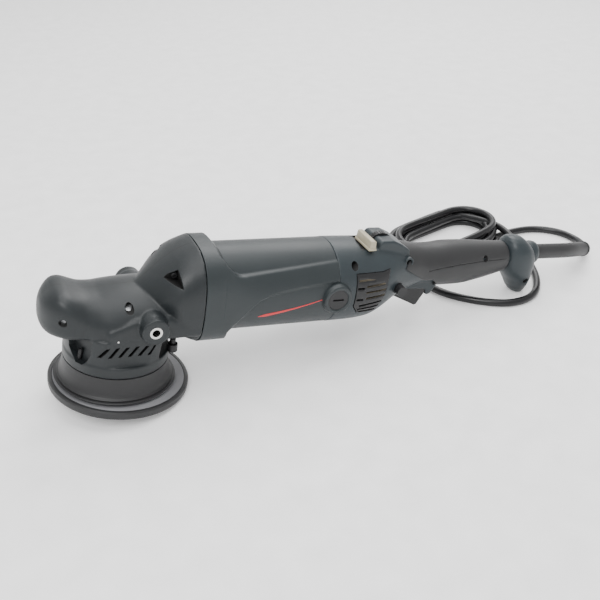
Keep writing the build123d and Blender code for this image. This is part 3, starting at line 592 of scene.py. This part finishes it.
FLARE = [(9.0, 4.0, 84.0, 96.6), (13.0, 11.5, 78.0, 98.2), (18.0, 18.5, 74.0, 102.6),
         (24.0, 26.0, 70.0, 108.6), (30.0, 33.0, 67.0, 114.4), (36.0, 38.6, 63.0, 119.6),
         (42.0, 42.0, 58.0, 124.4), (49.0, 43.1, 52.0, 128.4), (56.0, 43.3, 48.0, 131.2),
         (62.4, 43.4, 45.6, 133.3)]


def head_rings(inset=0.0):
    """The head along X: half width is the circle of the nose, then a slow widening."""
    nose = -34.0 - 33.6 * np.cos(np.linspace(0, np.pi / 2, 40))
    x = np.concatenate([nose, np.linspace(-34.0, 62.4, 60)[1:]])
    circle = np.sqrt(np.maximum(33.6**2 - (x + 34.0) ** 2, 0))
    half = np.where(x < -34.0, circle, smooth_curve(*zip(*HEAD_HALF), x))
    low, middle, high, upper = (smooth_curve(*zip(*table), x) for table in (
        HEAD_LOW, HEAD_MIDDLE, HEAD_TOP, HEAD_UPPER))
    return shell_rings(x, np.maximum(half - inset, 0.4), np.minimum(low + inset, middle - 0.2),
                       middle, np.maximum(high - inset, middle + 0.2), upper, 5.0)


def lens(side):
    """The lens-shaped hollow in the neck, between its wall and the collar's step."""
    outline = np.array([(165.0, 63.0), (164.0, 48.5), (156.7, 42.4), (150.0, 38.2),
                        (141.0, 38.2), (135.5, 42.5), (131.5, 50.0), (130.0, 63.0)])
    angle = np.radians(outline[:, 0]) * side
    z = outline[:, 1]
    rings = [np.column_stack([r * np.cos(angle), r * np.sin(angle), z]) for r in (39.0, 52.0)]
    block = skin("cutter", rings, smooth=False)
    tidy_mesh(block, 1e-7)
    return block


def rod(name, start, end, radius):
    """A round bar with domed ends between two points."""
    start, end = np.asarray(start, float), np.asarray(end, float)
    along = (end - start) / np.linalg.norm(end - start)
    across = np.cross(along, (0.3, 0.2, 0.9))
    across /= np.linalg.norm(across)
    third = np.cross(along, across)
    angle = np.linspace(0, 2 * np.pi, 24, endpoint=False)[:, None]
    ring = across * np.cos(angle) + third * np.sin(angle)
    dome = np.linspace(0.15, np.pi / 2, 6)
    rings = [start + radius * (ring * np.sin(t) - along * np.cos(t)) for t in dome]
    rings += [end + radius * (ring * np.sin(t) + along * np.cos(t)) for t in dome[::-1]]
    return skin(name, rings)


def join_up(name, things):
    """Puts several meshes into one object."""
    import bmesh
    work = bmesh.new()
    for thing in things:
        work.from_mesh(thing.data)
    mesh = bpy.data.meshes.new(name)
    work.to_mesh(mesh)
    work.free()
    drop(*things)
    mesh.polygons.foreach_set("use_smooth", np.ones(len(mesh.polygons), bool))
    mesh.set_sharp_from_angle(angle=math.radians(35))
    joined = bpy.data.objects.new(name, mesh)
    bpy.context.scene.collection.objects.link(joined)
    return joined


class POLISHER_OT_head(bpy.types.Operator):
    """Head covers: nose, neck over the collar, flare to the motor, slots and screw wells"""
    bl_idname = "polisher.head"
    bl_label = "Head covers"

    def execute(self, context):
        nose = skin("nose", head_rings())
        flare = oval_body("flare", FLARE, [2.0, 2.0, 2.0, 2.05, 2.1, 2.2, 2.35, 2.5, 2.65,
                                           2.8])
        collar = turned("collar", [(0, 29.9), (45.2, 29.9), (45.7, 30.5), (45.7, 39.4),
                                   (45.0, 40.4), (0, 40.4)])
        neck = turned("neck", [(0, 38.0), (44.9, 38.0), (44.9, 64.0), (0, 64.0)])
        carve(neck, both_sides(lambda side: [prism(
            "cutter", [(-60, 30), (60, 30), (60, 70), (-60, 70)], 41.0 * side, 60 * side)])
            + [prism("cutter", [(26.0, 30), (60, 30), (60, 70), (38.0, 70), (30.0, 50)],
                     -60, 60)])
        wall = prism("wall", [(-28.0, 40.6), (24.0, 40.6), (30.0, 46.0), (34.0, 56.0),
                              (40.0, 60.5), (46.0, 61.5), (46.0, 72.0), (-28.0, 72.0)],
                     -41.4, 41.4, 1.6)
        shoulder = prism("shoulder", [(-20.0, 60.0), (50.0, 62.0), (50.0, 78.0), (34.0, 84.0),
                                      (6.0, 84.0), (-20.0, 74.0)], -41.2, 41.2, 6.5)
        bosses = both_sides(lambda side: [turned_y("boss", [
            (0, 24 * side), (12.6, 24 * side), (12.4, 41 * side), (11.9, 42.5 * side),
            (11.8, 49.3 * side), (11.2, 49.95 * side), (0, 49.95 * side)],
            BOSS_X, BOSS_Z)])
        head = fuse("head_covers", [nose, flare, collar, neck, wall, shoulder] + bosses, 0.9,
                    6)
        use(head, cover_plastic())
        # The slots, screw wells and flare recess are cut with near-black walls: painted shade
        # inside the holes.
        dark = hole_shade_and_joint_black()
        cutters = []
        for side in (-1, 1):
            for step in range(6):
                x = -25.2 + 8.2 * step
                cutters.append(use(prism("slot", [
                    (x, 49.6), (x + 2.9, 49.6), (x + 9.6, 58.6), (x + 6.7, 58.6)],
                    36 * side, 44 * side), dark))
            cutters.append(well(-51.5, 79.0, 3.1, 16 * side, 45 * side, dark))
            cutters.append(well(1.6, 88.6, 3.5, 18 * side, 45 * side, dark))
            cutters.append(well(BOSS_X, BOSS_Z, 5.35, 40 * side, 55 * side, dark))
            cutters.append(use(prism("recess", [(30.0, 111.4), (41.6, 119.8), (43.2, 108.2)],
                                     20 * side, 46 * side), dark))
            # a slanted arrow, pressed shallow into the wall above the slots
            cutters.append(use(prism("arrow", [
                (-19.2, 64.0), (-14.3, 67.4), (-14.3, 66.2), (-1.0, 65.6), (-1.0, 63.0),
                (-14.3, 63.4)], 41.2 * side, 43 * side), black_plastic()))
            cutters.append(use(lens(side), cover_plastic()))
        carve(head, cutters)
        stand_for(head, "head_cover_right", "head_cover_left", slot="cover_plastic")
        for side in (-1, 1):
            angle = math.radians(152.0) * side
            out = np.array([math.cos(angle), math.sin(angle), 0])
            pin = rod("neck_pin", 41.0 * out + (0, 0, 36.5), 41.6 * out + (2.0, 0, 46.5), 2.1)
            stand_for(use(pin, black_plastic()), slot="black_plastic")
        # what shows of the two kinds of screw at the bottom of their wells, darkened near black:
        # painted shade of the deep wells
        screws = []
        for side in (-1, 1):
            for x, z, y in ((-51.5, 79.0, 16.0), (1.6, 88.6, 18.0), (39.6, 113.4, 20.0)):
                screws.append(turned_y("screw", [
                    (0, y * side), (2.6, y * side), (2.6, (y + 2.2) * side),
                    (2.3, (y + 2.6) * side), (1.3, (y + 2.6) * side), (1.2, (y + 1) * side),
                    (0, (y + 1) * side)], x, z, 28))
        screw_set = join_up("head_screw_set", screws)
        use(screw_set, finish("well_shade_steel", (0.012, 0.012, 0.013), 0.5, metallic=0.2,
                              grain=900, bump=0.03))
        stand_for(screw_set, "head_screws", slot="steel")
        case = skin("gear_housing", head_rings(inset=5.0))
        use(case, frame["nodes"]["gear_case"].data.materials[0])
        stand_for(case, "gear_case", slot="cast_alloy")
        dot = turned_y("rotation_mark", [(0, -40.9), (0.75, -40.9), (0.75, -41.35),
                                         (0, -41.35)], -9.0, 64.6, 24)
        use(dot, finish("mark_white", (0.8, 0.8, 0.78), 0.5, grain=900, bump=0.0))
        stand_for(dot, slot="cream_plastic")
        return {"FINISHED"}


# ------------------------------------------------------------------ motor housing
RIDGE = [(62.0, 12.0), (79.0, 30.0), (84.0, 42.0), (93.0, 52.0), (120.0, 49.0),
         (150.0, 45.0), (190.2, 39.0)]
ARCH = [(62.0, 126.0), (88.0, 124.0), (94.0, 112.0), (100.0, 101.0), (107.0, 91.0),
        (114.0, 83.5), (126.0, 78.0), (140.0, 74.0), (186.0, 67.0), (190.2, 66.5)]


def motor_radius(x, angle):
    """Radius of the motor housing: the barrel's, and more where the flange block, and the
    band that runs back from it along each flank, stand proud.  angle is in degrees from
    the top, the same down both sides."""
    a = np.abs(angle)
    c, s = np.abs(np.cos(np.radians(a))), np.abs(np.sin(np.radians(a)))
    block = (np.abs(s / 43.4) ** 2.8 + np.abs(c / 43.9) ** 2.8) ** (-1 / 2.8)
    edge = np.interp(a, [0, 30, 42, 50, 60, 112, 124, 140, 180],
                     [79.0, 80.0, 83.5, 89.0, 92.0, 92.0, 88.0, 90.0, 91.5])
    fade = np.interp(a, [0, 46, 60, 100, 116, 180], [6.0, 7.0, 34.0, 34.0, 7.0, 6.0])
    flange = smooth_step((edge - x) / fade + 0.5)
    ridge = smooth_curve(*zip(*RIDGE), x)
    arch = smooth_curve(*zip(*ARCH), x)
    band = np.minimum(smooth_step((a - ridge) / 7.0 + 0.5),
                      smooth_step((arch - a) / 3.6 + 0.5))
    band = band * (x > 80)
    height = np.interp(x, [62, 84, 100, 130, 190.2], [3.5, 3.5, 2.9, 2.1, 1.1])
    raised = 39.75 + height * band
    return raised + (block - raised) * flange


class POLISHER_OT_motor(bpy.types.Operator):
    """Motor housing: flange block, barrel with a band along each flank, and brush bosses"""
    bl_idname = "polisher.motor"
    bl_label = "Motor housing"

    def execute(self, context):
        x = np.concatenate([[62.75, 62.8], np.linspace(63.2, 190.0, 300), [190.1]])
        angle = np.linspace(-180, 180, 300, endpoint=False)
        grid_x, grid_a = np.meshgrid(x, angle, indexing="ij")
        radius = motor_radius(grid_x, grid_a)
        radius[0] -= 0.5
        radius[-1] -= 0.4
        a = np.radians(grid_a)
        rings = np.stack([grid_x, radius * np.sin(a), MOTOR_Z + radius * np.cos(a)], -1)
        motor = use(skin("motor_shell", rings), motor_plastic())
        for side in (-1, 1):
            boss = use(turned_y("brush_boss", [
                (0, 32 * side), (15.6, 36 * side), (14.2, 41.0 * side), (13.6, 42.0 * side),
                (13.45, 43.0 * side), (12.9, 43.5 * side), (10.3, 43.5 * side),
                (9.9, 42.9 * side), (9.9, 40 * side), (0, 40 * side)], BRUSH_X, MOTOR_Z, 96),
                motor_plastic())
            stand_for(boss, slot="rear_plastic")
        stand_for(motor, "motor_housing", slot="rear_plastic")
        self.stripe()
        return {"FINISHED"}

    def stripe(self):
        """A plain accent stripe that lies on the right flank, thick in front."""
        t = np.linspace(0, 1, 60)
        x = 114.0 + 59.5 * t
        middle = 75.6 + 13.6 * t - 1.1 * np.sin(np.pi * t)
        half = 0.35 + 1.35 * (1 - t) ** 1.3 * smooth_step(t / 0.12)
        across = np.linspace(-1, 1, 7)
        z = middle[:, None] + half[:, None] * across
        angle = np.degrees(np.arccos((z - MOTOR_Z) / 40.0))
        radius = motor_radius(np.broadcast_to(x[:, None], z.shape), angle) + STRIPE_LIFT
        top = np.stack([np.broadcast_to(x[:, None], z.shape),
                        -radius * np.sin(np.radians(angle)),
                        MOTOR_Z + radius * np.cos(np.radians(angle))], -1)
        low = top.copy()
        low[..., 1] += STRIPE_DEPTH
        stripe = skin("accent_stripe", np.concatenate([top, low[:, ::-1]], 1))
        tidy_mesh(stripe, 1e-7)
        use(stripe, finish("accent_red", colours().accent, 0.35, grain=900, bump=0.0))
        stand_for(stripe, slot="cream_plastic")


# ------------------------------------------------------------------ rear housing
REAR = [(190.35, 39.6, 49.8, 128.9), (205.0, 39.4, 49.8, 128.7), (222.0, 38.8, 50.4, 128.2),
        (236.0, 37.4, 53.0, 127.6), (248.0, 34.4, 60.0, 126.6), (258.0, 30.4, 66.5, 124.9),
        (268.0, 26.4, 71.5, 122.8), (280.0, 22.2, 76.0, 120.6), (296.0, 18.6, 80.5, 118.6),
        (350.0, 17.9, 80.5, 117.6), (376.0, 15.2, 85.5, 116.6), (404.0, 12.0, 91.0, 115.2)]
GRIP = [(256.0, 31.4, 66.0, 125.6), (268.0, 27.4, 70.8, 123.6), (280.0, 24.0, 74.6, 122.0),
        (292.0, 21.6, 76.6, 120.2), (304.0, 21.2, 77.0, 120.0), (326.0, 22.2, 76.6, 121.6),
        (346.0, 21.9, 77.0, 121.2), (362.0, 20.3, 79.5, 120.2), (378.0, 18.3, 82.6, 119.2),
        (390.0, 16.6, 85.4, 118.6), (396.8, 15.5, 87.0, 118.3)]


class POLISHER_OT_rear(bpy.types.Operator):
    """Rear housing: tapering body, hump of the speed dial, guard arm and both vents"""
    bl_idname = "polisher.rear"
    bl_label = "Rear housing"

    def execute(self, context):
        body = oval_body("body", REAR, 2.1)
        hump = prism("hump", [(235.0, 112.0), (237.4, 130.6), (240.0, 133.0), (253.0, 132.8),
                              (263.0, 128.4), (272.4, 122.6), (276.0, 108.0)],
                     -17.0, 17.0, 4.5)
        arm = prism("arm", [(256.0, 92.0), (260.0, 79.0), (272.0, 75.5), (290.0, 75.0),
                            (305.5, 74.2), (308.6, 66.8), (313.5, 68.0), (319.6, 78.6),
                            (315.0, 86.0), (300.0, 92.0)], -9.4, 9.4, 2.0)
        shell = fuse("rear_shell", [body, hump, arm], 0.85, 4)
        use(shell, rear_plastic())
        # The slit, dial and trigger slots, vents and screw wells get near-black walls: painted
        # shade inside them.
        dark = hole_shade_and_joint_black()
        cutters = [
            use(prism("recess", [(219.0, 125.2), (235.0, 125.2), (236.6, 132.0),
                                 (218.4, 132.0)], -26.0, 26.0), black_plastic()),
            use(prism("slit", [(224.4, 120.0), (229.4, 120.0), (229.4, 127.0),
                               (224.4, 127.0)], -15.0, 15.0), dark),
            use(turned_y("dial_slot", [(0, -3.5), (12.9, -3.5), (12.9, 3.5), (0, 3.5)],
                         246.0, 123.0, 80), dark),
            use(prism("trigger_slot", [(258.0, 60.0), (308.6, 60.0), (308.6, 82.0),
                                       (258.0, 82.0)], -8.3, 8.3), dark)]
        for side in (-1, 1):
            cutters.append(use(prism("vent", VENT, 30 * side, 50 * side), dark))
        for x, z, radius, floor in ((206.8, 116.0, 3.5, -18.0), (270.4, 112.4, 3.1, -12.0),
                                    (258.5, 90.0, 5.6, -20.0)):
            cutters.append(well(x, z, radius, floor, -50, dark))
        carve(shell, cutters)
        stand_for(shell, "rear_housing_right", "rear_housing_left", slot="rear_plastic")
        collar = turned_y("screw_collar", [
            (3.1, -14.0), (5.0, -14.0), (4.8, -22.0), (4.4, -22.7), (3.5, -22.7),
            (3.1, -22.2)], 270.4, 112.4, 48)
        stand_for(use(collar, rear_plastic()), slot="rear_plastic")
        for side, name in ((-1, "right"), (1, "left")):
            cover = oval_body("vent_cover", [(x, h + 0.55, lo - 0.5, hi + 0.5)
                                             for x, h, lo, hi in REAR[:6]], 2.1)
            keep = prism("keep", VENT_PLATE, 24 * side, 50 * side)
            cut = cover.modifiers.new("cut", "BOOLEAN")
            cut.operation, cut.object, cut.solver = "INTERSECT", keep, "EXACT"
            settle(cover)
            drop(keep)
            cover.name = "vent_grille_" + name
            use(cover, black_plastic())
            slots = []
            beige = finish("filter_mesh", (0.085, 0.072, 0.050), 0.8, grain=1100, bump=0.5)
            # The four upper slots show the beige filter; the lower ones get near-black walls,
            # painted shade inside the vent.
            for i, (x0, x1, z0, z1) in enumerate(VENT_SLOTS):
                slots.append(use(prism("slot", [
                    (x0, z0 - 0.95), (x1, z1 - 0.95), (x1, z1 + 0.75), (x0, z0 + 0.75)],
                    (36.4 if i < 4 else 30.0) * side, 50 * side),
                    beige if i < 4 else dark))
            carve(cover, slots)
            stand_for(cover, "vent_cover_" + name, slot="black_plastic")
        return {"FINISHED"}


VENT = [(207.6, 110.4), (207.6, 79.0), (214.6, 70.0), (234.6, 69.0), (241.6, 87.0),
        (242.4, 100.0), (245.6, 112.0), (237.0, 110.4)]
VENT_PLATE = [(208.0, 109.9), (208.0, 79.4), (214.9, 70.5), (234.3, 69.5), (241.2, 87.2),
              (242.0, 100.0), (245.0, 111.4), (237.0, 109.9)]
VENT_SLOTS = [(209.8, 234.5, 104.4, 105.4), (218.4, 239.6, 98.6, 100.0),
              (218.4, 240.6, 92.8, 94.2), (219.4, 240.4, 86.9, 88.6),
              (214.0, 238.4, 79.0, 82.0), (213.4, 236.4, 74.6, 77.0),
              (215.6, 234.0, 71.2, 72.6), (209.0, 216.4, 97.4, 97.2),
              (209.4, 216.6, 86.2, 85.8)]


class POLISHER_OT_grip(bpy.types.Operator):
    """Soft grip sleeve, the knob at the butt and its screw well"""
    bl_idname = "polisher.grip"
    bl_label = "Grip and knob"

    def execute(self, context):
        sleeve = oval_body("grip_sleeve", GRIP, 2.05, 110)
        use(sleeve, grip_rubber())
        front = prism("front", [(272.6, 140.0), (272.0, 114.0), (266.0, 107.4), (294.0, 90.4),
                                (304.0, 90.8), (312.0, 84.6), (320.0, 60.0), (230.0, 60.0),
                                (230.0, 140.0)], -40, 40)
        cutters = [use(front, grip_rubber())]
        for side in (-1, 1):
            # the fine joint where the grip's lower insert meets its upper part
            line = [(296.4, 101.0), (313.0, 103.8), (332.0, 106.3), (352.0, 107.4),
                    (372.0, 107.3), (392.0, 106.8)]
            strip = line + [(x, z - 0.35) for x, z in reversed(line)]
            cutters.append(use(prism("joint", strip, 12 * side, 30 * side), hole_shade_and_joint_black()))
        # The screw well's near-black walls are painted shade.
        cutters.append(well(364.0, 109.2, 3.1, -14.5, -30, hole_shade_and_joint_black()))
        carve(sleeve, cutters)
        stand_for(sleeve, "grip_right", "grip_left", slot="grip_rubber")
        knob = skin("butt_cap", self.knob_rings())
        use(knob, rear_plastic())
        # The knob's screw well has near-black walls: painted shade.
        carve(knob, [well(425.0, 80.0, 3.0, -5.0, -30, hole_shade_and_joint_black())])
        stand_for(knob, "butt_knob", slot="rear_plastic")
        ring = [np.column_stack([np.full(64, x), r * np.cos(t),
                                 COLLAR_Z + r * np.sin(t)])
                for t in [np.linspace(0, 2 * np.pi, 64, endpoint=False)]
                for x, r in ((424.0, 12.6), (435.4, 12.6), (438.4, 11.8), (439.2, 10.6),
                             (439.2, 8.6), (436.0, 8.4))]
        stand_for(use(skin("butt_collar", ring), rear_plastic()), slot="rear_plastic")
        return {"FINISHED"}

    def knob_rings(self):
        """Level ovals from the knob's toe to its crown: (z, front x, rear x, half width)."""
        table = np.array([(60.4, 429.2, 430.8, 1.5), (61.2, 424.4, 433.6, 6.6),
                          (64.0, 420.0, 436.0, 10.0), (70.0, 415.6, 437.2, 13.4),
                          (77.0, 410.6, 437.6, 16.4), (84.0, 405.0, 437.4, 18.8),
                          (92.0, 400.4, 437.0, 20.2), (100.0, 398.0, 436.4, 20.6),
                          (108.0, 397.6, 434.2, 20.0), (114.0, 398.0, 430.0, 18.2),
                          (119.0, 399.4, 424.6, 14.6), (122.4, 401.6, 419.4, 9.4),
                          (123.9, 405.6, 414.6, 3.4), (124.1, 409.2, 411.0, 0.8)])
        z = np.linspace(60.4, 124.1, 110)
        front, rear, half = (smooth_curve(table[:, 0], table[:, i], z) for i in (1, 2, 3))
        rings = oval_rings(z, half, front, rear, 2.35)
        return rings[..., [2, 1, 0]]


class POLISHER_OT_controls(bpy.types.Operator):
    """Mode selector's slider with its stepped foot"""
    bl_idname = "polisher.controls"
    bl_label = "Mode selector"

    def execute(self, context):
        foot = prism("foot", [(223.0, 126.3), (231.4, 126.3), (231.0, 128.6), (223.4, 128.6)],
                     -22.0, 7.4, 0.6)
        bar = prism("bar", [(223.8, 127.0), (230.8, 127.0), (230.0, 135.2), (229.2, 135.8),
                            (225.4, 135.8), (224.6, 135.2)], -21.2, 6.6, 0.9)
        slider = join_up("selector_slider", [foot, bar])
        use(slider, frame["nodes"]["mode_selector"].data.materials[0])
        stand_for(slider, "mode_selector", body="mode_selector", slot="cream_plastic")
        return {"FINISHED"}


class POLISHER_OT_pad(bpy.types.Operator):
    """Skirt with its bead and lip, and the pad's backing plate under it"""
    bl_idname = "polisher.pad"
    bl_label = "Skirt and pad plate"

    def execute(self, context):
        skirt = turned("skirt_shroud", [
            (43.6, 29.7), (45.5, 29.7), (45.9, 26.0), (46.3, 21.0), (47.0, 16.6),
            (48.3, 13.2), (49.1, 12.2), (50.0, 11.9), (50.4, 11.4), (50.1, 10.9),
            (48.7, 10.75), (48.6, 10.45), (51.6, 10.5), (52.7, 10.4), (53.1, 10.0),
            (52.9, 9.6), (52.2, 9.5), (46.0, 9.5), (44.4, 12.0), (43.4, 20.0)])
        skirt.data.set_sharp_from_angle(angle=math.radians(50))
        use(skirt, black_rubber())
        stand_for(skirt, "skirt_ring", slot="black_rubber")
        plate = turned("pad_plate", [(0, 6.45), (48.6, 6.45), (49.2, 7.0), (49.2, 8.6),
                                     (48.6, 9.2), (0, 9.2)], THROW)
        plate.data.set_sharp_from_angle(angle=math.radians(50))
        use(plate, frame["nodes"]["pad_cushion"].data.materials[0])
        stand_for(plate, "backing_plate", body="pad", slot="black_plastic")
        return {"FINISHED"}


# ------------------------------------------------------------------ finishes of the CAD
class POLISHER_OT_finishes(bpy.types.Operator):
    """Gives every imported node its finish"""
    bl_idname = "polisher.finishes"
    bl_label = "Finishes"

    def execute(self, context):
        alloy = finish("cast_alloy", (0.42, 0.43, 0.44), 0.45, metallic=1.0, grain=1200,
                       bump=0.25)
        copper = finish("copper", (0.72, 0.32, 0.18), 0.35, metallic=1.0, grain=1500)
        made = {
            "black_rubber": black_rubber(), "black_plastic": black_plastic(),
            "steel": bright_steel(), "cast_alloy": alloy, "copper": copper,
            "cover_plastic": cover_plastic(), "rear_plastic": rear_plastic(),
            "grip_rubber": grip_rubber(),
            "lamination": finish("lamination", (0.20, 0.20, 0.21), 0.5, metallic=1.0,
                                 grain=2400),
            "carbon": finish("carbon", (0.02, 0.02, 0.02), 0.6),
            "pad_foam": finish("pad_foam", (0.20, 0.20, 0.21), 0.6, grain=1600, bump=0.3),
            "hook_fabric": finish("hook_fabric", (0.025, 0.025, 0.026), 0.9, grain=1800,
                                  bump=0.8, sheen=0.4),
            "filter_mesh": finish("filter_mesh", (0.085, 0.072, 0.050), 0.8, grain=1100,
                                  bump=0.5),
            "cream_plastic": finish("cream_plastic", (0.40, 0.36, 0.26), 0.38, grain=1900,
                                    bump=0.05),
            "cord_jacket": finish("cord_jacket", (0.010, 0.010, 0.011), 0.30, grain=900,
                                  bump=0.03)}
        # each CAD node comes in with a material named after its slot
        for thing in frame["nodes"].values():
            use(thing, made[thing.data.materials[0].name.split(".")[0]])
        return {"FINISHED"}


class POLISHER_PG_sizes(bpy.types.PropertyGroup):
    """Sizes that can be changed"""
    lead: FloatProperty(name="Lead length", description="Length of the mains lead, metres",
                        default=2.7, unit="LENGTH")


class POLISHER_PG_colours(bpy.types.PropertyGroup):
    """Colours that can be changed"""
    cover: FloatVectorProperty(name="Head covers", description="Plastic of the head",
                               default=(0.0135, 0.0165, 0.0180), subtype="COLOR", size=3)
    motor: FloatVectorProperty(name="Motor housing", description="Plastic of the motor part",
                               default=(0.0200, 0.0255, 0.0275), subtype="COLOR", size=3)
    rear: FloatVectorProperty(name="Rear housing", description="Plastic of the rear part",
                              default=(0.0225, 0.0300, 0.0340), subtype="COLOR", size=3)
    grip: FloatVectorProperty(name="Grip", description="Rubber of the grip",
                              default=(0.0230, 0.0232, 0.0240), subtype="COLOR", size=3)
    accent: FloatVectorProperty(name="Accent", description="Stripe on the motor housing",
                                default=(0.62, 0.03, 0.035), subtype="COLOR", size=3)


class POLISHER_PT_panel(bpy.types.Panel):
    """Lists the operators"""
    bl_idname = "POLISHER_PT_panel"
    bl_label = "Polisher"
    bl_space_type = "VIEW_3D"
    bl_region_type = "UI"
    bl_category = "Polisher"

    def draw(self, context):
        for operator in OPERATORS:
            self.layout.operator(operator.bl_idname)
        for group in (sizes(), colours()):
            for name in group.bl_rna.properties.keys():
                if name not in ("rna_type", "name"):
                    self.layout.prop(group, name)


OPERATORS = (POLISHER_OT_stage, POLISHER_OT_finishes, POLISHER_OT_lead, POLISHER_OT_head,
             POLISHER_OT_motor, POLISHER_OT_rear, POLISHER_OT_grip, POLISHER_OT_controls,
             POLISHER_OT_pad)
GROUPS = (POLISHER_PG_sizes, POLISHER_PG_colours)


def register():
    for item in GROUPS + OPERATORS + (POLISHER_PT_panel,):
        bpy.utils.register_class(item)
    bpy.types.Scene.polisher_sizes = PointerProperty(type=POLISHER_PG_sizes)
    bpy.types.Scene.polisher_colours = PointerProperty(type=POLISHER_PG_colours)


def unregister():
    del bpy.types.Scene.polisher_colours
    del bpy.types.Scene.polisher_sizes
    for item in reversed(GROUPS + OPERATORS + (POLISHER_PT_panel,)):
        bpy.utils.unregister_class(item)


def main():
    register()
    for operator in OPERATORS:
        group, name = operator.bl_idname.split(".")
        getattr(getattr(bpy.ops, group), name)()


if __name__ == "__main__":
    main()
